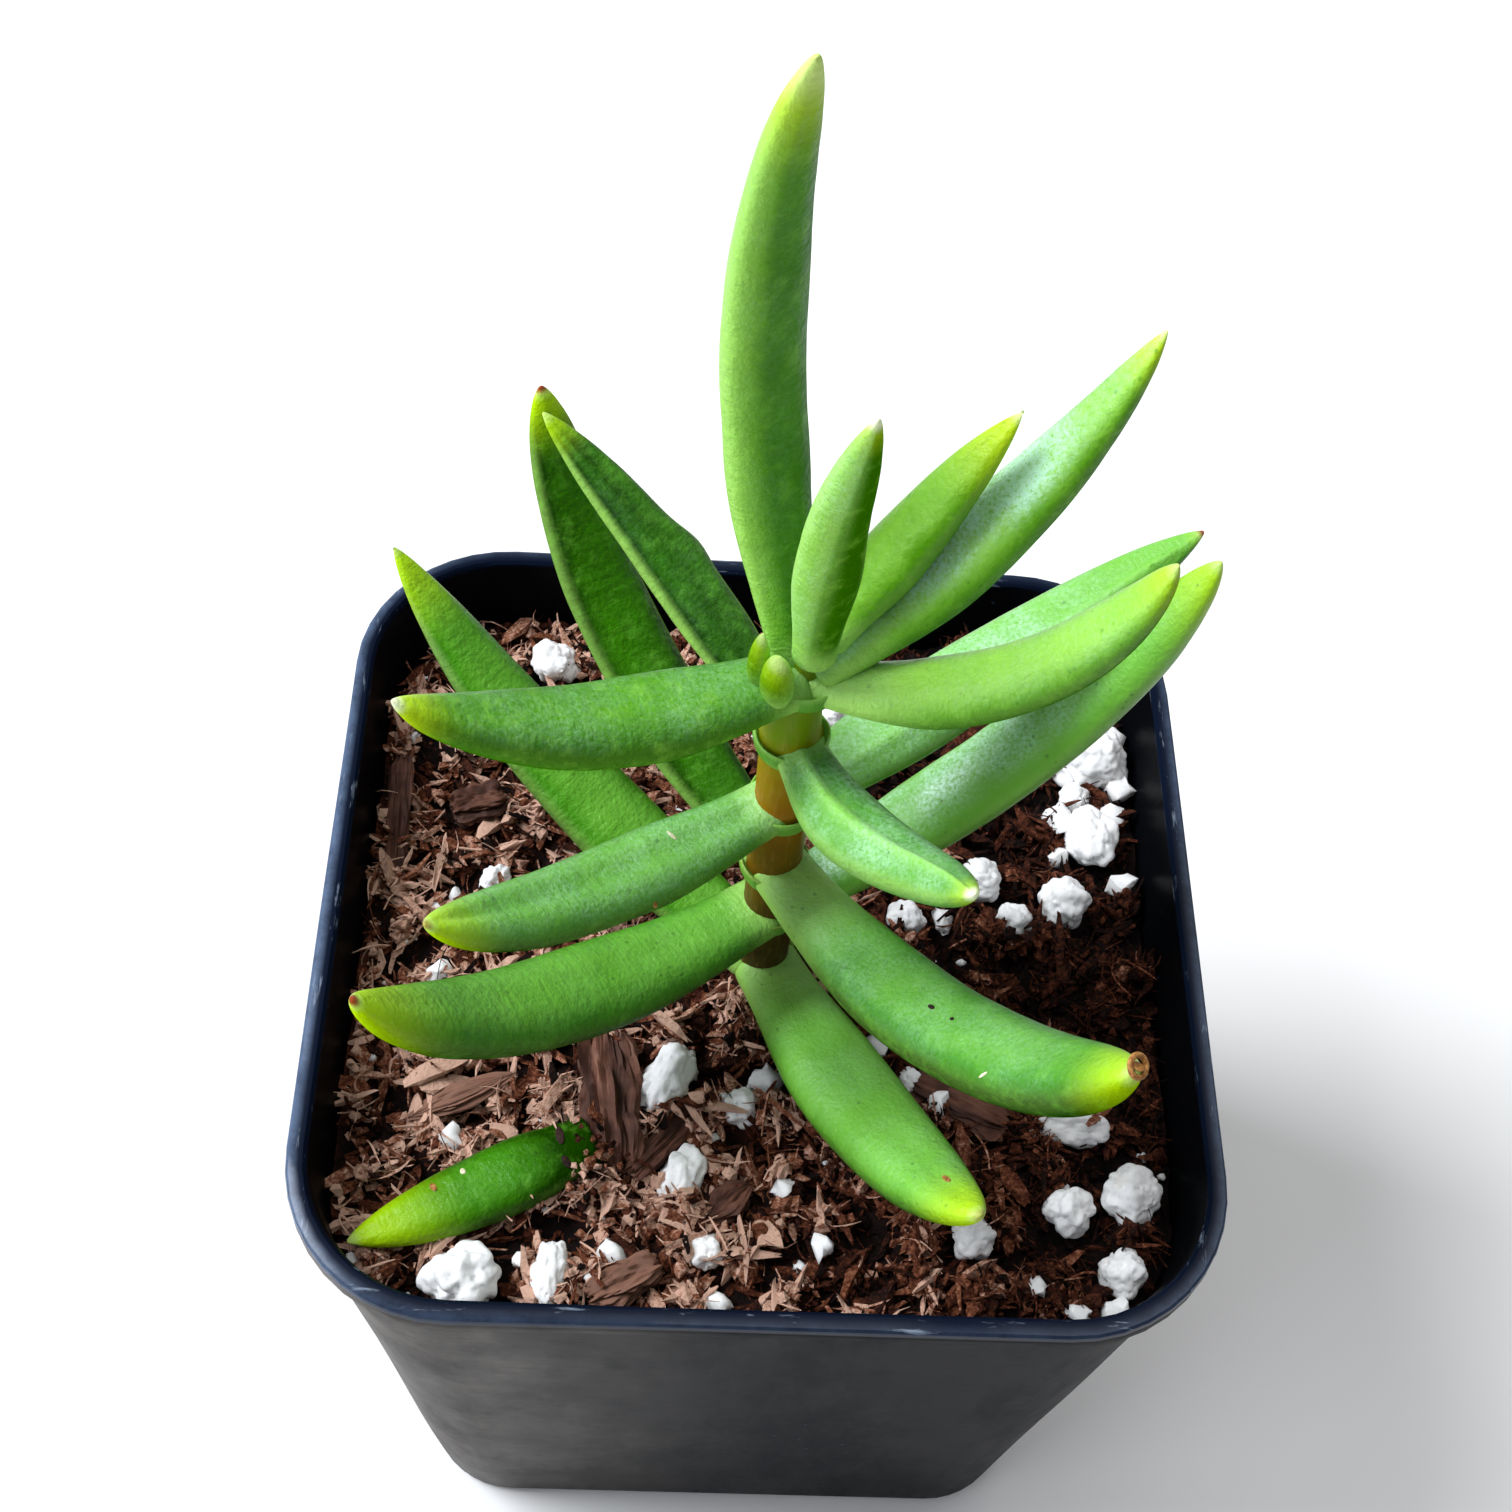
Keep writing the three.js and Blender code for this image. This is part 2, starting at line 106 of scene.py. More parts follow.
# %% [markdown]
# A shader works in linear light, and colours are picked as they look on a screen, so one function turns a
# hex colour to linear numbers. Another adds a node, sets it, joins it up and hands back the output that the
# next node needs. Two recipes are built from it. A pattern is noise of a real size with its middle range
# spread out, and a coat is a colour laid over what is below it, as strongly as all its masks together.

# %% Colours and nodes
def colour(text):
    """An sRGB hex colour as linear red, green, blue and alpha."""
    values = []
    for start in (0, 2, 4):
        value = int(text[start:start + 2], 16) / 255
        values.append(value / 12.92 if value <= 0.04045 else ((value + 0.055) / 1.055) ** 2.4)
    return (*values, 1.0)


def add(tree, kind, sockets=None, output=0, stops=(), **settings):
    """Adds a node and gives back one of its outputs. A socket takes a value, a hex colour or an output."""
    node = tree.nodes.new("ShaderNode" + kind)
    for name, value in settings.items():
        setattr(node, name, value)
    for name, value in (sockets or {}).items():
        if isinstance(value, bpy.types.NodeSocket):
            tree.links.new(value, node.inputs[name])
        else:
            node.inputs[name].default_value = colour(value) if isinstance(value, str) else value
    for index, (place, value) in enumerate(stops):
        elements = node.color_ramp.elements
        stop = elements[index] if index < 2 else elements.new(place)
        stop.position = place
        stop.color = colour(value)
    return node.outputs[output] if node.outputs else None


print("sRGB 808080 is", round(colour("808080")[0], 3), "in linear light")

# %% Materials and patterns
def per_mm(size):
    """The texture scale that makes one feature this many millimetres wide."""
    return 1 / (size * MM)


def new_material(name):
    """An empty material, its nodes, and the place on the piece that its patterns are laid out by."""
    material = bpy.data.materials.new(name)
    material.use_nodes = True
    tree = material.node_tree
    tree.nodes.clear()
    return material, tree, add(tree, "TexCoord", output="Object")


def finish_material(tree, sockets, height=None, depth=0.1):
    """The surface shader, with bumps this many millimetres deep where a height is given."""
    if height is not None:
        bump = add(tree, "Bump", {"Height": height, "Distance": depth * MM, "Strength": 1.0})
        sockets = {**sockets, "Normal": bump}
    add(tree, "OutputMaterial", {"Surface": add(tree, "BsdfPrincipled", sockets)})


def pattern(tree, where, size, low=0.0, high=1.0, least=0.0, most=1.0, detail=4.0, roughness=0.55):
    """Noise with features of this size in millimetres. Its range low to high runs from least to most."""
    cloudy = add(tree, "TexNoise", {
        "Vector": where, "Scale": per_mm(size), "Detail": detail, "Roughness": roughness})
    return add(tree, "MapRange", {
        "Value": cloudy, "From Min": low, "From Max": high, "To Min": least, "To Max": most})


def coat(tree, under, over, *masks):
    """One colour over another, as strongly as all the masks multiplied."""
    strength = masks[0]
    for mask in masks[1:]:
        strength = add(tree, "Math", {0: strength, 1: mask}, operation="MULTIPLY")
    return add(tree, "Mix", {0: strength, 6: under, 7: over}, 2, data_type="RGBA")


print("a pattern of 1 mm has the scale", per_mm(1))

# %% [markdown]
# The set is plain: a pale matte floor, soft daylight from the left and behind, as from a window, and a weaker
# broad light overhead. The leaves' up-facing skins then shine pale and their near sides stay deep green.

# %% Floor and light
FLOOR_SIZE = 3.0
FLOOR_DROP = 0.05 * MM
LIGHTS = {
    "window": {"at": (-0.76, 0.16, 0.96), "size": 0.56, "power": 18.5, "tint": "F6FAFF"},
    "overhead": {"at": (0.10, 0.16, 0.80), "size": 0.60, "power": 2.6, "tint": "FFFFFF"},
    "left_side": {"at": (-0.58, -0.30, 0.22), "size": 0.30, "power": 1.6, "tint": "F2F6FF"},
}
LIGHT_AIM = Vector((0, 0, 60 * MM))
SKY_STRENGTH = 0.19

bpy.context.scene.view_settings.view_transform = "Standard"
world = bpy.data.worlds.new("studio")
world.use_nodes = True
bpy.context.scene.world = world
sky = world.node_tree.nodes["Background"]
sky.inputs["Color"].default_value = colour("EDF2FA")
sky.inputs["Strength"].default_value = SKY_STRENGTH

for light_name, light in LIGHTS.items():
    clear_selection()
    place = Vector(light["at"])
    aim = (LIGHT_AIM - place).to_track_quat("-Z", "Y").to_euler()
    bpy.ops.object.light_add(type="AREA", location=place, rotation=aim)
    lamp = bpy.context.object
    lamp.name = light_name
    lamp.data.size = light["size"]
    lamp.data.energy = light["power"]
    lamp.data.color = colour(light["tint"])[:3]

paper, tree, spot = new_material("matte_white_card")
cloudy = pattern(tree, spot, 60, detail=3.0)
tone = add(tree, "ValToRGB", {"Fac": cloudy}, stops=[(0.3, "F4F3F1"), (0.7, "F8F7F6")])
finish_material(tree, {"Base Color": tone, "Roughness": 0.9})

clear_selection()
bpy.ops.mesh.primitive_plane_add(size=FLOOR_SIZE, location=(0, 0, -FLOOR_DROP))
floor = bpy.context.object
floor.name = "floor"
settle(floor)
floor.data.materials.append(paper)
print("floor and", len(LIGHTS), "lights")

# %% [markdown]
# ## The pot's plastic
# A nursery pot is thin black polypropylene, injection moulded and then handled: a satin skin, scuffed to
# grey where pots rub together, with a film of dried dust, level scratches and a few pinholes. It could be one
# dark colour with noise in its roughness, but the real one shows its wear in the tone. So each kind of wear
# is a coat of its own. The pale coat of dust also carries a painted reflection of the light from the left:
# it grows towards the front left corner, and none of it is inside the pot, where the painted value called
# outside is 0.

# %% Black polypropylene
POT_BLACK = "090A0D"
POT_GREY = "15181C"
POT_DUST_AND_SHEEN = "7A746E"
PINHOLE_GREY = "4E5E78"

polypropylene, tree, spot = new_material("scuffed_black_polypropylene")
outside = add(tree, "Attribute", output="Fac", attribute_name="outside")
from_left, from_front, height = [add(tree, "SeparateXYZ", {"Vector": spot}, axis) for axis in "XYZ"]
# A painted reflection of the light from the left, lightest at the left and towards the front
lit_from_left = add(tree, "MapRange", {
    "Value": from_left, "From Min": -27 * MM, "From Max": -2 * MM, "To Min": 1.0, "To Max": 0.04})
lit_from_front = add(tree, "MapRange", {
    "Value": from_front, "From Min": -25 * MM, "From Max": 4 * MM, "To Min": 1.0, "To Max": 0.12})
upwards = add(tree, "Mapping", {"Vector": spot, "Scale": (1.0, 1.0, 0.3)})
scuffs = pattern(tree, upwards, 9, 0.45, 0.72, detail=5.0, roughness=0.7)
film = pattern(tree, upwards, 5, 0.28, 0.74, 0.34, 0.78, detail=5.0, roughness=0.6)
blotches = pattern(tree, spot, 6, 0.36, 0.64, 0.6, 1.3, roughness=0.6)
level_lines = add(tree, "Mapping", {"Vector": spot, "Scale": (1.0, 1.0, 9.0)})
scratches = pattern(tree, level_lines, 2.6, 0.60, 0.72, 0.0, 0.6, roughness=0.6)
pinholes = add(tree, "TexVoronoi", {"Vector": spot, "Scale": per_mm(1.5)}, "Distance", feature="F1")
pinholes = add(tree, "MapRange", {
    "Value": pinholes, "From Min": 0.05, "From Max": 0.12, "To Min": 1.0, "To Max": 0.0})
scuffed_most = add(tree, "MapRange", {"Value": scuffs, "From Min": 0.3, "From Max": 0.8, "To Max": 0.6})

wall_tone = coat(tree, POT_BLACK, POT_GREY, scuffs, outside)
# Dust and a painted reflection of the light from the left in one pale coat, strongest at the front left
wall_tone = coat(tree, wall_tone, POT_DUST_AND_SHEEN, lit_from_left, lit_from_front, outside, film, blotches)
wall_tone = coat(tree, wall_tone, POT_BLACK, scratches)
wall_tone = coat(tree, wall_tone, PINHOLE_GREY, pinholes, scuffed_most)
print("the wall's tone has", len(tree.nodes), "nodes")

# %% [markdown]
# The lip is where the pot is held and knocked. Its top is painted a dark blue, a painted reflection of the
# sky, and its outer edge a lighter blue grey, a painted highlight that is strongest at the left, where the
# light falls, and at the sides, and is broken up by rubbing. Short bright marks run along it, partly nicks
# and partly painted glints. A nick follows the side of the square that it is on, so two stretched patterns
# are made, and the one for the nearer side is used.

# %% The lip's worn edge
LIP_SKY_REFLECTION = "0C1424"
LIP_SHEEN_AND_WEAR = "4E5E78"
LIP_NICKS_AND_GLINTS = "9AA8BC"
LIP_ROUGHNESS = 0.24

lip_here = add(tree, "MapRange", {"Value": height, "From Min": 55.5 * MM, "From Max": 55.8 * MM})
across, deep = [add(tree, "Math", {0: place}, operation="ABSOLUTE") for place in (from_left, from_front)]
on_side = add(tree, "Math", {0: across, 1: deep}, operation="GREATER_THAN")
along_front = add(tree, "Mapping", {"Vector": spot, "Scale": (0.14, 1.0, 1.0)})
along_sides = add(tree, "Mapping", {"Vector": spot, "Scale": (1.0, 0.14, 1.0)})
front_nicks, side_nicks = [
    pattern(tree, stretched, 0.7, 0.60, 0.72, 0.0, 0.55, roughness=0.7)
    for stretched in (along_front, along_sides)]
nicks_and_glints = add(tree, "Mix", {0: on_side, 2: front_nicks, 3: side_nicks})
rubbed = pattern(tree, spot, 1.7, 0.36, 0.60, 0.55, 1.15, roughness=0.7)
outer_edge = add(tree, "MapRange", {"Value": outside, "From Min": 0.3, "From Max": 0.95})
lit_at_left = add(tree, "MapRange", {"Value": lit_from_left, "To Min": 0.42, "To Max": 1.0})
# A painted highlight, stronger on the lip of the side walls than at the front and back
sideways = add(tree, "Math", {0: across, 1: deep}, operation="SUBTRACT")
sideways = add(tree, "MapRange", {
    "Value": sideways, "From Min": -6 * MM, "From Max": 6 * MM, "To Min": 0.35, "To Max": 1.0})

# The lip's top: a painted sky reflection, with a painted highlight on its outer edge and glints along it
lip_tone = coat(tree, LIP_SKY_REFLECTION, LIP_SHEEN_AND_WEAR, outer_edge, lit_at_left, rubbed, sideways)
lip_tone = coat(tree, lip_tone, LIP_NICKS_AND_GLINTS, nicks_and_glints)
satin = add(tree, "MapRange", {"Value": scuffs, "To Min": 0.32, "To Max": 0.48})
rubbed_shine = add(tree, "Math", {0: lip_here, 1: outside}, operation="MULTIPLY")
finish_material(tree, {
    "Base Color": coat(tree, wall_tone, lip_tone, lip_here),
    "Roughness": add(tree, "Mix", {0: lip_here, 2: satin, 3: LIP_ROUGHNESS}),
    "Specular IOR Level": add(tree, "MapRange", {"Value": rubbed_shine, "To Min": 0.012, "To Max": 0.2}),
}, pattern(tree, spot, 2.4), 0.02)
print("pot plastic ready with", len(tree.nodes), "nodes")

# %% [markdown]
# ## The pot
# The pot is one moulded shell: a square with round corners that widens upwards, a thin lip, a floor with
# drain holes and a low ring to stand on. A cube with a Solidify modifier would give one even wall, but no lip
# and no ring. So it starts as a plane with bevelled corners, and that face is extruded from outline to
# outline: out over the standing ring, up the outside, over the lip and down the inside to the floor.

# %% The pot's outlines
POT_HEIGHT = 56.0
RIM_HALF = 28.5
RIM_CORNER = 10.4
LIP_HEIGHT = 1.8
LIP_STEP = 0.4
BASE_HALF = 23.3
BASE_CORNER = 6.6
BASE_ROUNDING = 1.2
WALL = 0.8
STAND_HEIGHT = 1.2
STAND_WIDTH = 1.6
FLOOR_TOP = STAND_HEIGHT + WALL
WALL_STEPS = 8
CORNER_STEPS = 10
SIDE_CUTS = 9


def mix(a, b, t):
    return a + (b - a) * t


def wall_outline(height, inset):
    """Half width, corner radius and height of the outer wall, moved inwards by the inset."""
    t = height / POT_HEIGHT
    half = mix(BASE_HALF, RIM_HALF - LIP_STEP, t) - inset
    corner = mix(BASE_CORNER, RIM_CORNER, t) - inset
    return half, corner, height


def lip_outline(height, inset):
    return RIM_HALF - inset, RIM_CORNER - inset, height


def pot_outlines():
    lip_foot = POT_HEIGHT - LIP_HEIGHT
    edge = LIP_STEP / 2
    outlines = [
        wall_outline(STAND_HEIGHT, STAND_WIDTH),
        wall_outline(edge, STAND_WIDTH),
        wall_outline(0, STAND_WIDTH - edge),
    ]
    for degrees in (0, 22, 45, 68, 90):
        lift = BASE_ROUNDING * (1 - math.cos(math.radians(degrees)))
        inset = 0.5 * BASE_ROUNDING * (1 - math.sin(math.radians(degrees)))
        outlines.append(wall_outline(lift, inset))
    inner_foot = FLOOR_TOP + BASE_ROUNDING
    for step in range(1, WALL_STEPS + 1):
        outlines.append(wall_outline(mix(BASE_ROUNDING, lip_foot, step / WALL_STEPS), 0))
    outlines += [
        lip_outline(lip_foot + 0.6 * LIP_STEP, edge / 2),
        lip_outline(lip_foot + 1.2 * LIP_STEP, 0),
        lip_outline(POT_HEIGHT - 1.5 * edge, 0),
        lip_outline(POT_HEIGHT - 0.5 * edge, 0.3 * edge),
        lip_outline(POT_HEIGHT, edge),
        lip_outline(POT_HEIGHT, LIP_STEP + WALL - edge),
        lip_outline(POT_HEIGHT - edge, LIP_STEP + WALL),
    ]
    for step in range(WALL_STEPS + 1):
        outlines.append(wall_outline(mix(lip_foot, inner_foot, step / WALL_STEPS), WALL))
    outlines.append(wall_outline(FLOOR_TOP, WALL + BASE_ROUNDING))
    return outlines


print("the pot has", len(pot_outlines()), "outlines")

# %% Editing a piece
def edit(piece):
    choose(piece)
    bpy.ops.object.mode_set(mode="EDIT")
    bpy.ops.mesh.select_all(action="SELECT")


def edge_vector(piece, edge):
    start, end = (piece.data.vertices[index].co for index in edge.vertices)
    return end - start


def edit_edges(piece, wanted):
    """Opens the piece for editing with only the wanted edges selected."""
    choose(piece)
    bpy.context.tool_settings.mesh_select_mode = (False, True, False)
    for part in (*piece.data.vertices, *piece.data.polygons):
        part.select = False
    for edge in piece.data.edges:
        edge.select = wanted(edge)
    bpy.ops.object.mode_set(mode="EDIT")


def leave_edit():
    bpy.ops.object.mode_set(mode="OBJECT")


def leave_edit_facing_out():
    """Turns all the faces of the piece being edited outwards first."""
    bpy.ops.mesh.select_all(action="SELECT")
    bpy.ops.mesh.normals_make_consistent(inside=False)
    leave_edit()


print("editing helpers ready")

# %% Drawing the shell out
def carried(value, old, new):
    """Where a coordinate of a point on one outline comes to lie on the next outline."""
    old_half, old_corner, _ = old
    new_half, new_corner, _ = new
    old_core = (old_half - old_corner) * MM
    new_core = (new_half - new_corner) * MM
    if abs(value) <= old_core:
        return value * new_core / old_core
    return math.copysign(new_core + (abs(value) - old_core) * new_corner / old_corner, value)


def shell_through(outlines):
    """A closed shell, extruded from its first outline's face through all the others."""
    half, corner, height = outlines[0]
    clear_selection()
    bpy.ops.mesh.primitive_plane_add(size=2 * half * MM, location=(0, 0, height * MM))
    shell = bpy.context.object
    edit(shell)
    bpy.ops.mesh.bevel(offset=corner * MM, segments=CORNER_STEPS, affect="VERTICES")
    leave_edit()
    edit_edges(shell, lambda edge: edge_vector(shell, edge).length > corner * MM)
    bpy.ops.mesh.subdivide(number_cuts=SIDE_CUTS)
    leave_edit()
    settle(shell)
    edit(shell)
    for old, new in zip(outlines, outlines[1:]):
        rise = (0, 0, (new[2] - old[2]) * MM)
        bpy.ops.mesh.extrude_region_move(TRANSFORM_OT_translate={"value": rise})
        leave_edit()
        for point in shell.data.vertices:
            if point.select:
                point.co.x = carried(point.co.x, old, new)
                point.co.y = carried(point.co.y, old, new)
        bpy.ops.object.mode_set(mode="EDIT")
    leave_edit_facing_out()
    return shell


pot = shell_through(pot_outlines())
print("the pot's shell has", len(pot.data.polygons), "faces")

# %% [markdown]
# The drain holes are punched with a Boolean for each, and the walls get the slight unevenness of thin moulded
# plastic: long shallow waves pushed along the surface's own normals. A finished piece is then named, dressed
# and handed over. Where its material has to follow its form, a value is painted at each of its points first.

# %% Finishing a piece
def modify(piece, kind, **settings):
    """Adds a modifier, sets it and applies it to the piece's mesh."""
    bpy.context.view_layer.objects.active = piece
    modifier = piece.modifiers.new(kind.lower(), kind)
    for name, value in settings.items():
        setattr(modifier, name, value)
    bpy.ops.object.modifier_apply(modifier=modifier.name)


def roughen(points, *waves):
    """Moves points along their normals by noise. A wave is a size and a depth in millimetres."""
    for point in points:
        away = sum(noise.noise(point.co / (size * MM)) * depth for size, depth in waves)
        point.co += point.normal * away * MM


def smooth_surface(piece, degrees):
    choose(piece)
    bpy.ops.object.shade_smooth_by_angle(angle=math.radians(degrees))


def paint(piece, name, values):
    layer = piece.data.attributes.new(name, "FLOAT", "POINT")
    layer.data.foreach_set("value", values)


def hand_over(piece, name, material, slot, *nodes):
    """Names a finished piece, dresses it and lets it stand for its nodes."""
    piece.name = name
    piece.data.name = name
    piece.data.materials.clear()
    piece.data.materials.append(material)
    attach(piece, "root")
    if nodes:
        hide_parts(*nodes)


print("finishing helpers ready")

# %% Drain holes and unevenness
DRAIN_RADIUS = 2.6
DRAIN_SPACING = 13.0
PUNCH_LENGTH = 4.0
WALL_WAVE = (22.0, 0.12)

drains = [(0, 0)] + [(x * DRAIN_SPACING, y * DRAIN_SPACING) for x in (-1, 1) for y in (-1, 1)]
for x, y in drains:
    clear_selection()
    place = (x * MM, y * MM, FLOOR_TOP * MM)
    bpy.ops.mesh.primitive_cylinder_add(
        vertices=32, radius=DRAIN_RADIUS * MM, depth=PUNCH_LENGTH * MM, location=place)
    punch = bpy.context.object
    modify(pot, "BOOLEAN", object=punch, operation="DIFFERENCE", solver="EXACT")
    bpy.data.objects.remove(punch)
roughen([point for point in pot.data.vertices if point.co.z > BASE_ROUNDING * MM], WALL_WAVE)
paint(pot, "outside", [float(point.normal.xy.dot(point.co.xy) > 0) for point in pot.data.vertices])
smooth_surface(pot, 35)
hand_over(pot, "pot_shell", polypropylene, "pot", "pot")
print("pot finished with", len(drains), "drain holes and", len(pot.data.polygons), "faces")

# %% [markdown]
# ## The leaves' skin
# A crassula's leaf is a water store: smooth, thick and slightly see-through, with a thin dusty bloom of wax
# on its upper side, paler margins, dark pores and a lime tip. Noise alone would put those anywhere. The
# pattern has to follow each leaf, so every point of a leaf carries painted values, and the shader mixes its
# greens from them. They also paint light and shade: the greens run from a painted shade where the skin faces
# down to painted light where it faces up, a painted highlight lies on the side facing the window, and a
# painted sheen goes with the wax. Only the skin that faces the light gets a shine, because the turned-away
# skin of the real leaf stays a deep plain green. Fine pimples, shallow swells and faint rings round the leaf
# break that shine.

# %% Leaf skin
LEAF_PAINTS = ("upper", "glow", "pale", "lime", "bloom_and_sheen", "dry", "burnt", "along")
MARGIN_AND_HIGHLIGHT_GREEN = "A6DA68"
WAX_BLOOM_AND_SHEEN = "BEF0CC"
DRY_TIP = "E8F2C8"
BURNT_TIP = "8A3F1C"


def leaf_skin(name, deep, green, light, tip):
    """A fleshy green skin, from painted shade below to painted light above, then the margins and the tip."""
    material, tree, spot = new_material(name)
    painted = {kind: add(tree, "Attribute", output="Fac", attribute_name=kind) for kind in LEAF_PAINTS}

    level = painted["upper"]
    clouds = pattern(tree, spot, 4.0, least=-0.15, most=0.15, detail=3.0)
    specks = pattern(tree, spot, 0.35, least=-0.10, most=0.10, roughness=0.7)
    for wobble in (clouds, specks):
        level = add(tree, "Math", {0: level, 1: wobble}, operation="ADD")
    # Painted light and shade: deep green where the skin faces down, light green where it faces up
    skin = add(tree, "ValToRGB", {"Fac": level}, stops=[(0.36, deep), (0.68, green), (1.0, light)])
    skin = coat(tree, skin, light, pattern(tree, spot, 1.1, 0.50, 0.72, 0.0, 0.30, roughness=0.65))
    # A painted highlight on the side of the leaf that faces the window light
    skin = coat(tree, skin, light, painted["glow"])
    # Pale margins and collars, with painted highlights along crests and keels
    skin = coat(tree, skin, MARGIN_AND_HIGHLIGHT_GREEN, painted["pale"])
    skin = coat(tree, skin, tip, painted["lime"])

    pores = add(tree, "TexVoronoi", {"Vector": spot, "Scale": per_mm(0.8)}, "Distance", feature="F1")
    pores = add(tree, "MapRange", {
        "Value": pores, "From Min": 0.08, "From Max": 0.20, "To Min": 0.55, "To Max": 0.0})
    sparse = pattern(tree, spot, 2.6, 0.45, 0.6, detail=1.0)
    skin = coat(tree, skin, deep, pores, painted["upper"], sparse)

    # The wax bloom also carries a painted sheen, in one pale mint coat
    wax_and_sheen = painted["bloom_and_sheen"]
    dusting = pattern(tree, spot, 0.24, 0.34, 0.70, detail=5.0, roughness=0.75)
    patches = pattern(tree, spot, 3.4, 0.36, 0.62, 0.3, 1.0, detail=2.0)
    for broken_by in (dusting, patches):
        wax_and_sheen = add(tree, "Math", {0: wax_and_sheen, 1: broken_by}, operation="MULTIPLY")
    skin = coat(tree, skin, WAX_BLOOM_AND_SHEEN, wax_and_sheen)
    skin = coat(tree, skin, DRY_TIP, painted["dry"])
    skin = coat(tree, skin, BURNT_TIP, painted["burnt"])

    relief = pattern(tree, spot, 0.30, detail=3.0, roughness=0.6)
    swells = pattern(tree, spot, 1.8, most=1.8, detail=2.0)
    lengthwise = add(tree, "CombineXYZ", {"X": painted["along"]})
    rings = pattern(tree, lengthwise, 0.7, most=0.9, detail=2.0)
    for form in (swells, rings):
        relief = add(tree, "Math", {0: relief, 1: form}, operation="ADD")

    lit = add(tree, "Math", {0: painted["upper"], 1: painted["glow"]}, operation="MAXIMUM")
    finish_material(tree, {
        "Base Color": skin,
        "Roughness": add(tree, "MapRange", {"Value": wax_and_sheen, "From Max": 0.6, "To Min": 0.34, "To Max": 0.44}),
        "IOR": 1.33,
        "Specular IOR Level": add(tree, "MapRange", {
            "Value": lit, "From Min": 0.3, "From Max": 0.8, "To Max": 0.5}),
        "Coat Weight": add(tree, "Math", {0: wax_and_sheen, 1: 0.5}, operation="MULTIPLY"),
        "Coat Roughness": 0.3,
        "Subsurface Weight": 0.10,
        "Subsurface Radius": (0.35, 0.9, 0.12),
        "Subsurface Scale": 1.0 * MM,
    }, relief, 0.10)
    return material


# A skin's first green is the painted shade of skin facing down, its third the painted light of skin facing up
grown_skin = leaf_skin("grown_leaf_skin", "163C00", "3C8406", "74BC3C", "B2DC08")
young_skin = leaf_skin("young_leaf_skin", "347000", "569C02", "98D648", "C4E41C")
print("leaf skins ready with", len(grown_skin.node_tree.nodes), "nodes each")

# %% [markdown]
# ## Leaves
# The leaves stand in opposite pairs, each pair turned about a quarter from the one below, and they are
# tapered fingers, flatter above and rounder below. A sculpt would be slow and hard to change. So each leaf
# starts as a straight blank, a round disc extruded along +X ring by ring and resized to the leaf's width at
# each station. The blank is then flattened above and keeled below, and its points are carried onto the leaf's
# middle line, which turns and rises from foot to tip. A bend is worked out point by point because the bend
# operator needs a window. In the list, turn and rise are degrees, length and width are millimetres, and a
# leaf says only what is not as on the usual leaf.

# %% The usual leaf
LEAF_START = 0.9
# Tone moves a leaf's whole green, partly its own colour and partly painted light and shade for how it faces
# painted shade, the bloom values lay wax with a painted sheen on it, and a long pale foot is partly
# highlight.
# the light. Glow and lit paint a highlight on one side, keel and crest paint highlights, a dark foot is a
USUAL_LEAF = {
    "out": LEAF_START, "buried": LEAF_START, "sweep": 0, "blunt": 3,
    "groove": 0.02, "ridge": 0, "crest": 0, "sway": 0, "hump": 0,
    "tone": 0, "shaded_foot": 0, "lime": 1.0, "lime_from": 0.8,
    "pale": 0.12, "pale_foot": 2.2, "pale_by": 0.7, "keel_highlight": 0, "keel_at": 0, "keel_wide": 0.14,
    "bloom_and_sheen": 0, "bloom_to": 0.75, "sheen_side": 0,
    "glow": 0, "glow_sheen": 0, "lit": (-0.25, 1.2),
    "dry_tip": 0.25, "dry_over": 0.9, "burnt": 0,
}
print("a leaf has", len(USUAL_LEAF), "usual values")

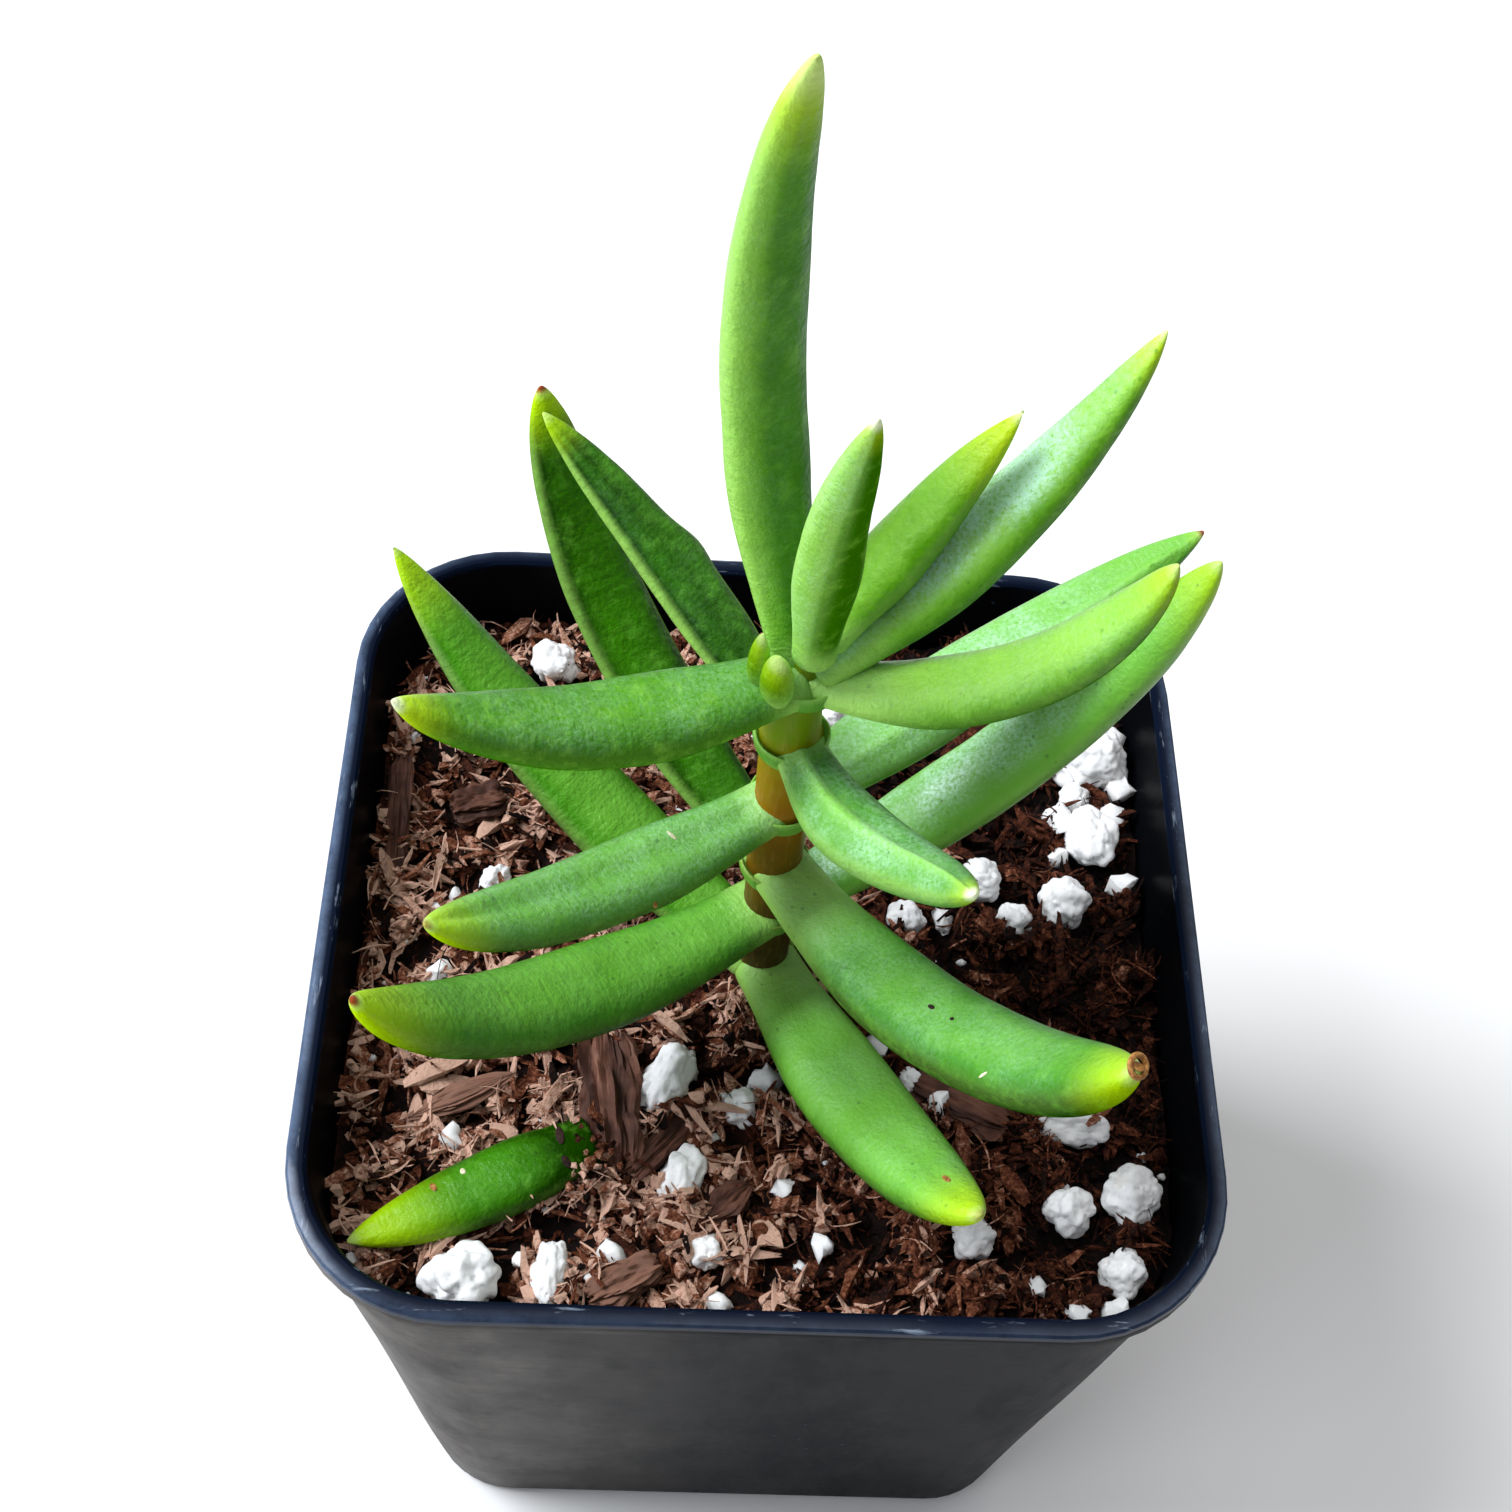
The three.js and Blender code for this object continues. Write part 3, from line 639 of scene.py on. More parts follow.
# %% The leaves' sizes and directions
LEAVES = [
    dict(USUAL_LEAF, name="leaf_1_front", node=1, turn=-62, sweep=1, rise=(-4, 53), length=27,
         width=6.4, blunt=4, tone=0.16, lime_from=0.78, pale_foot=6, bloom_and_sheen=0.2, burnt=0.4),
    dict(USUAL_LEAF, name="leaf_1_back", node=1, turn=141, sweep=2, rise=(6, 52), length=35.5,
         width=6.1, tone=-0.1, pale=0.3),
    dict(USUAL_LEAF, name="leaf_2_left", node=2, turn=212, sweep=4, rise=(-9, 68), length=32.5,
         width=6.1, blunt=4, tone=-0.05, lime_from=0.72, bloom_and_sheen=0.08, burnt=1.0),
    dict(USUAL_LEAF, name="leaf_2_right", node=2, turn=28, sweep=-9, rise=(11, 70), length=35.5,
         width=5.3, blunt=5.5, tone=0.3, lime=0.85, pale=0.3, bloom_and_sheen=1.5, bloom_to=0.5, sheen_side=1),
    dict(USUAL_LEAF, name="leaf_3_front", node=3, turn=-54, sweep=11, rise=(-7, 67), length=31.5,
         width=5.8, blunt=7, tone=-0.15, lime=0.9, lime_from=0.84, pale_foot=8, pale_by=1.0, bloom_and_sheen=0.25),
    dict(USUAL_LEAF, name="leaf_3_back", node=3, turn=129, sweep=-4, rise=(6, 74), length=32.5,
         width=5.1, blunt=5.5, tone=-0.4, lime_from=0.86, pale=0.35, burnt=1.0),
    dict(USUAL_LEAF, name="leaf_4_left", node=4, turn=209, sweep=15, rise=(-14, 54), length=25,
         width=5.1, blunt=4, groove=0.07, lime_from=0.76, bloom_and_sheen=0.4, burnt=0.6),
    dict(USUAL_LEAF, name="leaf_4_right", node=4, turn=37, sweep=-12, rise=(7, 26), length=29,
         width=5.4, ridge=-0.22, crest=0.07, tone=0.15, lime=0.7, lime_from=0.94, bloom_and_sheen=0.9,
         bloom_to=0.6, burnt=1.0),
    dict(USUAL_LEAF, name="leaf_5_front", node=5, turn=-59, sweep=3, rise=(-9, 57), length=17.5,
         width=4.5, ridge=-0.12, crest=0.11, sway=-0.45, tone=-0.25, lime=0.9, lime_from=0.86, pale=0.4,
         bloom_and_sheen=0.5, glow=-0.45, glow_sheen=0.12, dry_tip=1.0),
    dict(USUAL_LEAF, name="leaf_5_back", node=5, turn=128, sweep=20, rise=(25, 34), length=21.5,
         width=4, groove=0.06, hump=0.4, tone=-0.42, lime=0.9, lime_from=0.85, pale=0.6, bloom_and_sheen=0.05,
         glow=-0.15),
    dict(USUAL_LEAF, name="leaf_6_left", node=6, turn=200, sweep=2, rise=(-12, 50), length=23.2,
         width=5.4, tone=-0.38, lime_from=0.82, bloom_and_sheen=0.26, dry_tip=1.0),
    dict(USUAL_LEAF, name="leaf_6_right", node=6, turn=-17, sweep=32, rise=(1, 73), length=21.8,
         width=4.4, blunt=4, lime=0.6, pale=0.2, pale_foot=7, pale_by=1.0, keel_highlight=0.55, keel_at=0.1,
         keel_wide=0.4, bloom_and_sheen=0.2),
    dict(USUAL_LEAF, name="leaf_8_front", node=8, turn=-98, sweep=29, rise=(84, 71), length=23,
         width=3.5, tone=-0.1, lime=0.6, lime_from=0.86, pale=0.35, keel_highlight=0.2, bloom_and_sheen=0.05, glow=-0.75,
         glow_sheen=0.3, lit=(0.0, 0.4), dry_tip=1.0),
    dict(USUAL_LEAF, name="leaf_9_tip", node=8, turn=30, rise=(56, 56), length=3.1, width=1.5, lime=0.8,
         lime_from=0.3),
    dict(USUAL_LEAF, name="leaf_8_right", node=8, turn=36, sweep=-7, rise=(47, 48), length=15, width=4,
         blunt=2.3, tone=-0.1, lime_from=0.6, pale=0.3, keel_highlight=0.25, keel_at=-0.3, glow=0.4, dry_tip=0.5),
    dict(USUAL_LEAF, name="leaf_7_right", node=7, turn=24, sweep=2, rise=(30, 66), length=24.8, width=5,
         blunt=2.3, lime=0.9, lime_from=0.84, pale_foot=5, bloom_and_sheen=3.4, bloom_to=0.55, sheen_side=1),
    dict(USUAL_LEAF, name="leaf_7_back", node=7, turn=126, sweep=-4, rise=(63, 107), length=36.5,
         width=4.7, blunt=4, tone=-0.45, lime=0.9, pale=0.45, keel_highlight=0.22, keel_at=-0.1, bloom_and_sheen=0.12,
         glow=0.6, lit=(0.22, 0.6), dry_tip=0.35, dry_over=3.0),
    dict(USUAL_LEAF, name="bud_left", node=6, turn=198, rise=(90, 90), length=4.4, width=1.7, out=2.6,
         buried=0, tone=0.2, lime=0.35, lime_from=0.1),
    dict(USUAL_LEAF, name="bud_front", node=6, turn=229, rise=(90, 90), length=3.8, width=2, blunt=5,
         out=2.4, buried=0, tone=0.2, lime=0.4, lime_from=0.1),
]
FALLEN_LEAF = dict(
    USUAL_LEAF, name="leaf_fallen", turn=209, sweep=-3, rise=(-4, 8), length=16.5, width=5, buried=0,
    tone=-0.25, shaded_foot=0.5, lime=0.85, lime_from=0.5, pale_foot=0.01)
print(len(LEAVES), "leaves and buds, the longest", max(leaf["length"] for leaf in LEAVES), "mm")

# %% Feet and widths
STEM_Y = -3.0
NODE_HEIGHTS = [54.2, 61, 66.2, 72.9, 79.6, 85.3, 86.3, 88.6]
LEAN_START = 82.0
LEAN_SLOPE = 0.1
LEAF_FOOT_WIDTH = 0.7
LEAF_FULL_AT = 0.34
LEAF_TIP_ROUNDING = 0.7


def smooth(t):
    t = min(max(t, 0.0), 1.0)
    return t * t * (3 - 2 * t)


def stem_axis(z):
    return Vector((LEAN_SLOPE * max(z - LEAN_START, 0), STEM_Y, z))


def leaf_foot(leaf):
    """Where a leaf's middle line starts, just inside the stem's skin."""
    turn = math.radians(leaf["turn"])
    outward = Vector((math.cos(turn), math.sin(turn), 0))
    return stem_axis(NODE_HEIGHTS[leaf["node"] - 1]) + outward * leaf["out"]


def leaf_width(leaf, t):
    foot = mix(LEAF_FOOT_WIDTH, 1, smooth(t / LEAF_FULL_AT))
    tip = max(1 - max(t, 0) ** leaf["blunt"], 0) ** LEAF_TIP_ROUNDING
    return leaf["width"] * foot * tip


print("the lowest leaves start", round(leaf_foot(LEAVES[0]).z, 1), "mm up")

# %% A straight leaf blank
LEAF_SIDES = 20
LEAF_RINGS = 30
BURIED_END = 0.86


def round_off(piece):
    modify(piece, "SUBSURF", levels=1, render_levels=1)


def leaf_stations(leaf):
    """Where the rings are, in parts of the length, from behind the foot to the tip."""
    reach = leaf["buried"] / leaf["length"]
    stations = [-reach, -0.5 * reach] if reach else []
    return stations + [math.sin(math.radians(90 * ring / LEAF_RINGS)) for ring in range(LEAF_RINGS)]


def leaf_blank(leaf):
    stations = leaf_stations(leaf)
    length = leaf["length"] * MM
    widths = [leaf_width(leaf, t) * MM for t in stations]
    if leaf["buried"]:
        widths[0] *= BURIED_END
    clear_selection()
    place = (stations[0] * length, 0, 0)
    facing = (0, math.radians(90), 0)
    bpy.ops.mesh.primitive_circle_add(
        vertices=LEAF_SIDES, radius=widths[0] / 2, fill_type="NGON", location=place, rotation=facing)
    blank = bpy.context.object
    edit(blank)
    for k in range(1, len(stations)):
        step = ((stations[k] - stations[k - 1]) * length, 0, 0)
        bpy.ops.mesh.extrude_region_move(TRANSFORM_OT_translate={"value": step})
        change = widths[k] / widths[k - 1]
        bpy.ops.transform.resize(value=(1, change, change), center_override=(stations[k] * length, 0, 0))
    leave_edit_facing_out()
    settle(blank)
    round_off(blank)
    return blank


trial = leaf_blank(LEAVES[0])
print("a blank has", len(trial.data.polygons), "faces and is", round(trial.dimensions.x / MM, 1), "mm long")
bpy.data.objects.remove(trial)

# %% [markdown]
# The painted values are worked out on the straight blank, where a point's place along the leaf and across it
# is easy to read. Upper is how much a point faces up, moved by the leaf's tone and a shaded foot, and it sets
# the greens' painted light and shade. Glow is a painted highlight on the side of a leaf that faces the window
# light. Pale marks the margins and the foot, where a pair's feet join as a thin collar, and it also holds
# painted highlights along the crest and along the soft keel of some leaves' lower sides. Lime rises towards
# the tip, the bloom is where the wax lies with a painted sheen on it, dry and burnt are the withered points
# of the tips, and along is the distance from the foot.

# %% Painting a leaf
MARGIN_FROM = 0.8
CREST_HIGHLIGHT = 2.5
WAX_FROM = 0.55
WAX_OVER = 0.35
WAX_WORN = 0.85
WAX_WORN_OVER = 0.25
WAX_SIDE = 0.9
SHADED_FOOT_OVER = 0.4
LIME_SPARE = 0.02
DRY_CORE = 0.2
BURNT_FROM = 0.55
BURNT_OVER = 0.4


def bell(distance, reach):
    return math.exp(-(distance / reach) ** 2)


def leaf_paint(leaf, t, beside, up, crest, body):
    """A point's painted values. Beside is -1 and 1 at the margins, and body fades to 0 at both ends."""
    from_foot = t * leaf["length"]
    to_tip = (1 - t) * leaf["length"]
    # A painted shade darkens a foot that lies under a chip
    up -= leaf["shaded_foot"] * (1 - smooth(t / SHADED_FOOT_OVER))
    margin = smooth((min(abs(beside), 1) - MARGIN_FROM) / (1 - MARGIN_FROM)) * body
    collar = leaf["pale_by"] * (1 - smooth(from_foot / leaf["pale_foot"]))
    # A painted highlight along the keel
    keel_highlight = leaf["keel_highlight"] * bell(beside - leaf["keel_at"], leaf["keel_wide"]) * body * (up < 0.5)
    # Glow's painted highlight on the side that faces the window light
    lit_from, lit_over = leaf["lit"]
    lit = smooth((math.copysign(1, leaf["glow"]) * beside - lit_from) / lit_over)
    # Where wax lies, on some leaves on one side only, together with a painted sheen
    waxed_and_sheened = smooth((up - WAX_FROM) / WAX_OVER) * smooth((leaf["sheen_side"] * beside + WAX_SIDE) / WAX_SIDE)
    waxed_and_sheened *= 1 - WAX_WORN * smooth((t - leaf["bloom_to"]) / WAX_WORN_OVER)
    dry_over = leaf["dry_over"]
    # Upper takes the tone, so it carries painted light and shade; the crest adds a painted highlight to pale
    return {
        "upper": min(max(up + leaf["tone"], 0), 1),
        "glow": abs(leaf["glow"]) * lit,
        "pale": min(leaf["pale"] * margin + collar + CREST_HIGHLIGHT * crest * body + keel_highlight, 1),
        "lime": leaf["lime"] * smooth((t - leaf["lime_from"]) / (1 - leaf["lime_from"] + LIME_SPARE)),
        "bloom_and_sheen": leaf["bloom_and_sheen"] * waxed_and_sheened + leaf["glow_sheen"] * lit,
        "dry": leaf["dry_tip"] * smooth((dry_over - to_tip) / ((1 - DRY_CORE) * dry_over)),
        "burnt": leaf["burnt"] * smooth((BURNT_FROM - to_tip) / BURNT_OVER),
        "along": from_foot * MM,
    }


print("painted on each leaf:", ", ".join(LEAF_PAINTS))

# %% [markdown]
# A blank is bent by carrying its points onto the leaf's middle line, which is followed in short straight
# steps. A groove or a crest along the upper side, a sway from side to side or a hump on one side gives a leaf
# its own form, and noise in two sizes takes the turned look off its skin.

# %% Bending a leaf
LEAF_UPPER = 0.3
LEAF_LOWER = 0.44
LEAF_STEPS = 56
BODY_FROM_FOOT = 0.08
BODY_FROM_TIP = 0.15
GROOVE_REACH = 0.16
CREST_REACH = 0.09
HUMP_AT = 0.5
HUMP_REACH = 0.07
SKIN_WAVE = (6.0, 0.10)
SKIN_RIPPLE = (1.6, 0.02)


def midline(leaf, foot):
    """The middle line's points with its direction, its sideways and its upward directions at each."""
    line = []
    at = foot.copy()
    for n in range(LEAF_STEPS + 1):
        t = n / LEAF_STEPS
        turn = math.radians(leaf["turn"] + leaf["sweep"] * t)
        rise = math.radians(mix(*leaf["rise"], t))
        along = Vector((math.cos(rise) * math.cos(turn), math.cos(rise) * math.sin(turn), math.sin(rise)))
        side = Vector((-math.sin(turn), math.cos(turn), 0))
        line.append((at.copy(), along, side, along.cross(side)))
        at = at + along * leaf["length"] / LEAF_STEPS
    return line


def on_midline(line, t):
    n = min(max(int(t * LEAF_STEPS), 0), LEAF_STEPS - 1)
    part = t * LEAF_STEPS - n
    return [a.lerp(b, part) if 0 <= part <= 1 else a + (b - a) * part for a, b in zip(line[n], line[n + 1])]


def leaf_section(above):
    """How much the round blank is flattened on this side of the leaf."""
    return 2 * (LEAF_UPPER if above > 0 else LEAF_LOWER)


def shape_leaf(leaf, foot):
    piece = leaf_blank(leaf)
    line = midline(leaf, foot)
    paints = {name: [] for name in LEAF_PAINTS}
    for point in piece.data.vertices:
        t = point.co.x / MM / leaf["length"]
        half = max(leaf_width(leaf, t) / 2, 0.01)
        across = point.co.y / MM
        above = point.co.z / MM
        body = smooth(t / BODY_FROM_FOOT) * smooth((1 - t) / BODY_FROM_TIP)
        groove = leaf["groove"] * bell(across / (2 * half), GROOVE_REACH) * (above > 0)
        crest = leaf["crest"] * bell(across / (2 * half) - leaf["ridge"], CREST_REACH) * (above > 0)
        above = above * leaf_section(above) + (crest - groove) * leaf["width"] * body
        up = 0.5 + 0.5 * above / (half * leaf_section(above))
        for name, value in leaf_paint(leaf, t, across / half, up, crest, body).items():
            paints[name].append(value)
        if across < 0:
            across -= leaf["hump"] * bell(t - HUMP_AT, HUMP_REACH)
        across += leaf["sway"] * math.sin(2 * math.pi * min(max(t, 0), 1))
        at, _, sideways, upward = on_midline(line, t)
        point.co = (at + sideways * across + upward * above) * MM
    for name, values in paints.items():
        paint(piece, name, values)
    piece.data.update()
    roughen(piece.data.vertices, SKIN_WAVE, SKIN_RIPPLE)
    smooth_surface(piece, 80)
    return piece


first_tip = midline(LEAVES[0], leaf_foot(LEAVES[0]))[-1][0]
print("the first leaf's tip is", round(first_tip.z, 1), "mm up")

# %% All the leaves
OLD_NODES = 5

for leaf in LEAVES:
    young = leaf["node"] > OLD_NODES
    skin, slot = (young_skin, "young_leaf") if young else (grown_skin, "leaf")
    hand_over(shape_leaf(leaf, leaf_foot(leaf)), leaf["name"] + "_skin", skin, slot, leaf["name"])
print("leaves finished:", ", ".join(leaf["name"] for leaf in LEAVES))

# %% [markdown]
# ## The stem
# The young stem is round, with a swelling at each pair of leaves, olive where it is newest and orange-brown
# below, where its skin is turning to bark. A curve with a round section would do, but its swellings need
# their own radius. So it is a disc extruded upwards and resized at each height. Its colour goes by height,
# through one ramp from the old brown foot to the green top, with fine pale lines along it.

# %% Stem skin
stem_bark, tree, spot = new_material("young_stem_skin")
height = add(tree, "SeparateXYZ", {"Vector": spot}, "Z")
age = add(tree, "MapRange", {"Value": height, "From Min": 50 * MM, "From Max": 90 * MM})
mottle = pattern(tree, spot, 1.8, least=-0.08, most=0.08)
age = add(tree, "Math", {0: age, 1: mottle}, operation="ADD")
tone = add(tree, "ValToRGB", {"Fac": age}, stops=[
    (0.05, "33240E"), (0.32, "563A0A"), (0.46, "6E5204"), (0.60, "966600"), (0.72, "8C7E00"),
    (0.80, "6E8C00")])
stretched = add(tree, "Mapping", {"Vector": spot, "Scale": (1.0, 1.0, 0.2)})
lines = pattern(tree, stretched, 0.3)
pale_lines = add(tree, "MapRange", {"Value": lines, "From Min": 0.5, "From Max": 0.75, "To Max": 0.15})
finish_material(tree, {
    "Base Color": coat(tree, tone, "C9A45A", pale_lines),
    "Roughness": 0.40,
    "IOR": 1.33,
    "Specular IOR Level": 0.25,
    "Subsurface Weight": 0.1,
    "Subsurface Radius": (0.8, 0.4, 0.1),
    "Subsurface Scale": 1.0 * MM,
}, lines, 0.05)
print("stem skin ready")

# %% Stem
SOIL_LEVEL = 49.5
STEM_ROOT_DEPTH = 12.0
STEM_RADIUS = 1.65
NODE_SWELL = 0.22
STEM_TAPER_START = 80.0
STEM_TOP = 89.4
STEM_TOP_RADIUS = 0.7
ROOT_THINNING = 0.45
STEM_WAVE = (2.2, 0.07)
STEM_SIDES = 24
ROOT_STEP = 2.0
STEM_STEP = 0.5
STEM_FOOT = SOIL_LEVEL - STEM_ROOT_DEPTH
RINGED_NODES = NODE_HEIGHTS[:6]


def stem_radius(z):
    taper = smooth((z - STEM_TAPER_START) / (STEM_TOP - STEM_TAPER_START))
    root = smooth((z - STEM_FOOT) / STEM_ROOT_DEPTH)
    plain = mix(STEM_RADIUS, STEM_TOP_RADIUS, taper) * mix(ROOT_THINNING, 1, root)
    nearest = min(abs(z - node) for node in RINGED_NODES)
    return plain + NODE_SWELL * smooth(1 - nearest)


root_steps = round(STEM_ROOT_DEPTH / ROOT_STEP)
stem_steps = round((STEM_TOP - SOIL_LEVEL) / STEM_STEP)
stem_heights = [STEM_FOOT + ROOT_STEP * step for step in range(root_steps)]
stem_heights += [SOIL_LEVEL + STEM_STEP * step for step in range(stem_steps)]
clear_selection()
bpy.ops.mesh.primitive_circle_add(
    vertices=STEM_SIDES, radius=stem_radius(STEM_FOOT) * MM, fill_type="NGON",
    location=stem_axis(STEM_FOOT) * MM)
stem = bpy.context.object
edit(stem)
for below, above in zip(stem_heights, stem_heights[1:]):
    step = (stem_axis(above) - stem_axis(below)) * MM
    bpy.ops.mesh.extrude_region_move(TRANSFORM_OT_translate={"value": step})
    change = stem_radius(above) / stem_radius(below)
    bpy.ops.transform.resize(value=(change, change, 1), center_override=stem_axis(above) * MM)
leave_edit_facing_out()
settle(stem)
roughen(stem.data.vertices, STEM_WAVE)
smooth_surface(stem, 60)
hand_over(stem, "stem_skin", stem_bark, "stem", "stem")
print("the stem reaches", stem_heights[-1], "mm")

# %% [markdown]
# ## Collars
# The two leaves of a pair join round the stem as a shallow collar, and the next length of stem rises out of
# it. A collar is the same all the way round, so its section is drawn once, as a closed loop of points beside
# the stem, and spun round the stem's axis. A little noise then takes the turned look off it.

# %% Collars
COLLAR_SECTION = [
    (-0.30, -1.10), (0.00, -1.05), (0.14, -0.75), (0.25, -0.30), (0.30, 0.12),
    (0.27, 0.40), (0.18, 0.50), (0.10, 0.40), (0.04, 0.20), (-0.30, 0.15),
]
COLLAR_STEPS = 36
COLLAR_WAVE = 1.4
COLLAR_WAVE_OUT = 0.10
COLLAR_WAVE_UP = 0.15


def from_points(name, points, edges, faces):
    mesh = bpy.data.meshes.new(name)
    mesh.from_pydata(points, edges, faces)
    piece = bpy.data.objects.new(name, mesh)
    bpy.context.scene.collection.objects.link(piece)
    return piece


def collar(node):
    height = NODE_HEIGHTS[node - 1]
    radius = STEM_RADIUS + NODE_SWELL
    axis = stem_axis(height)
    points = [(axis + Vector((radius + out, 0, up))) * MM for out, up in COLLAR_SECTION]
    loop = [(k, (k + 1) % len(points)) for k in range(len(points))]
    piece = from_points(f"collar_{node}", points, loop, [])
    edit(piece)
    bpy.ops.mesh.spin(steps=COLLAR_STEPS, angle=2 * math.pi, center=axis * MM, axis=(0, 0, 1))
    bpy.ops.mesh.select_all(action="SELECT")
    bpy.ops.mesh.remove_doubles(threshold=0.01 * MM)
    leave_edit_facing_out()
    round_off(piece)
    rims = []
    for point in piece.data.vertices:
        up = point.co.z / MM - height
        wave = noise.noise(point.co / (COLLAR_WAVE * MM))
        outward = Vector((point.co.x - axis.x * MM, point.co.y - axis.y * MM, 0)).normalized()
        point.co += (outward * COLLAR_WAVE_OUT + Vector((0, 0, COLLAR_WAVE_UP))) * wave * MM
        rims.append(smooth((up - 0.1) / 0.4))
    paint(piece, "upper", [0.75] * len(rims))
    paint(piece, "pale", [0.15 + 0.4 * rim for rim in rims])
    paint(piece, "burnt", [0.25 * rim * (node < 4) for rim in rims])
    for name in ("glow", "lime", "bloom_and_sheen", "dry", "along"):
        paint(piece, name, [0.0] * len(rims))
    smooth_surface(piece, 60)
    return piece


for node in range(1, len(RINGED_NODES) + 1):
    hand_over(collar(node), f"collar_{node}_skin", grown_skin, "leaf")
print("collars at", len(RINGED_NODES), "nodes")

# %% [markdown]
# ## The fallen leaf
# A shed leaf lies half sunk in the mix with its foot under a bark chip. It is made as the others are, from a
# blank with a square foot, and its skin is painted darker towards the foot, a painted shade under the chip.

# %% Fallen leaf
FALLEN_SINK = 0.2
FALLEN_FOOT = Vector((-10.2, -14.9, SOIL_LEVEL + FALLEN_LEAF["width"] * LEAF_LOWER - FALLEN_SINK))

fallen = shape_leaf(FALLEN_LEAF, FALLEN_FOOT)
hand_over(fallen, "leaf_fallen_skin", grown_skin, "leaf", "leaf_fallen")
print("the fallen leaf lies", round(FALLEN_FOOT.z - SOIL_LEVEL, 1), "mm above the mix's level")

# %% [markdown]
# ## The mix
# Potting mix is shredded bark and coir: crumbs and splinters a millimetre or two long, in small heaps with
# near-black gaps between them. A bumpy surface alone looks like felt from close by. So the ground is a fine
# grid with lumpy relief, painted dark in its hollows as shade, with closed sides down to the pot's floor, and
# what lies on it is scattered over it in thousands. Both take their browns from one ramp: a painted value
# called shade picks the brown, and fine grain breaks it up, so a single splinter already has light and dark
# in it. That value also carries painted light and shade: lighter at the left, where the window light falls,
# darker at the right, and darker in the hollows than on the heaps.

# %% Browns of the mix
def mix_finish(name, brightness):
    """Shredded bark, dull, its brown picked by a shade value that also carries painted light and shade."""
    material, tree, spot = new_material(name)
    shade = add(tree, "Attribute", output="Fac", attribute_name="shade")
    fine = pattern(tree, spot, 0.32, least=-0.80, most=0.90, detail=6.0, roughness=0.8)
    shade = add(tree, "Math", {0: shade, 1: fine}, operation="ADD")
    shade = add(tree, "Math", {0: shade, 1: brightness}, operation="MULTIPLY")
    tone = add(tree, "ValToRGB", {"Fac": shade}, stops=[
        (0.0, "040101"), (0.24, "1E0A05"), (0.5, "562A18"), (0.74, "90593F"), (1.0, "DAB09A")])
    fibres = pattern(tree, spot, 0.25, detail=5.0, roughness=0.7)
    finish_material(tree, {"Base Color": tone, "Roughness": 0.75, "Specular IOR Level": 0.15}, fibres, 0.22)
    return material


# The ground shows only in the gaps, so its browns are painted darker, as the shade between the pieces
ground_finish = mix_finish("shaded_mix_ground", 0.7)
shred_finish = mix_finish("shredded_bark", 1.0)
print("browns ready")

# %% The mix's surface
SOIL_MOUND = 0.8
SOIL_LUMP = 2.8
SOIL_RELIEF = 1.3
SOIL_CRUMB = 1.1
SOIL_CRUMB_RELIEF = 0.45
LIT_AT_LEFT = 1.52
SHADED_AT_RIGHT = 0.48


def ground_height(x, y):
    """The mix's surface, in millimetres."""
    from_stem = math.hypot(x, y - STEM_Y) / RIM_HALF
    mound = SOIL_MOUND * (1 - smooth(from_stem))
    lump = noise.noise(Vector((x, y, 0)) / SOIL_LUMP)
    crumb = noise.noise(Vector((x, y, 9)) / SOIL_CRUMB)
    return SOIL_LEVEL + mound + SOIL_RELIEF * lump + SOIL_CRUMB_RELIEF * crumb


def into_round_corners(x, y, half, corner):
    """Moves a point of a square grid so that the grid fills a square with round corners."""
    past_x = abs(x) - (half - corner)
    past_y = abs(y) - (half - corner)
    if past_x <= 0 or past_y <= 0:
        return x, y
    pull = max(past_x, past_y) / math.hypot(past_x, past_y)
    core = half - corner
    return math.copysign(core + past_x * pull, x), math.copysign(core + past_y * pull, y)


def light_on_mix(x, y):
    """Painted light on the mix: lighter at the left, where the window light falls, darker at the right."""
    return mix(LIT_AT_LEFT, SHADED_AT_RIGHT, smooth((x + 0.25 * y + 20) / 42))


print("the mix is", round(ground_height(0, STEM_Y), 1), "mm high at the stem")

# %% Ground of the mix
SOIL_INSET = WALL + 0.2
SOIL_CELLS = 150
SOIL_FOOT = FLOOR_TOP + 0.3

clear_selection()
soil_edge = wall_outline(SOIL_LEVEL, SOIL_INSET)
half, corner, _ = soil_edge
place = (0, 0, SOIL_LEVEL * MM)
bpy.ops.mesh.primitive_grid_add(
    x_subdivisions=SOIL_CELLS, y_subdivisions=SOIL_CELLS, size=2 * half * MM, location=place)
soil = bpy.context.object
settle(soil)
for point in soil.data.vertices:
    x, y = into_round_corners(point.co.x / MM, point.co.y / MM, half, corner)
    point.co = Vector((x, y, ground_height(x, y))) * MM
edit(soil)
bpy.ops.mesh.region_to_loop()
for level in (SOIL_FOOT + BASE_ROUNDING, SOIL_FOOT):
    below = wall_outline(level, SOIL_INSET + (BASE_ROUNDING if level == SOIL_FOOT else 0))
    bpy.ops.mesh.extrude_edges_move(TRANSFORM_OT_translate={"value": (0, 0, -1 * MM)})
    leave_edit()
    for point in soil.data.vertices:
        if point.select:
            x = carried(point.co.x, soil_edge, below)
            y = carried(point.co.y, soil_edge, below)
            point.co = (x, y, level * MM)
    soil_edge = below
    bpy.ops.object.mode_set(mode="EDIT")
bpy.ops.mesh.edge_face_add()
leave_edit_facing_out()
# Painted shade: the ground is darker the lower it lies, in its hollows, and takes the light across the mix
shades = []
for point in soil.data.vertices:
    x, y, z = point.co / MM
    shades.append(0.5 * smooth(0.35 + 0.4 * (z - SOIL_LEVEL)) * light_on_mix(x, y))
paint(soil, "shade", shades)
smooth_surface(soil, 60)
hand_over(soil, "soil_ground", ground_finish, "soil", "soil")
print("the mix's ground has", len(soil.data.polygons), "faces")

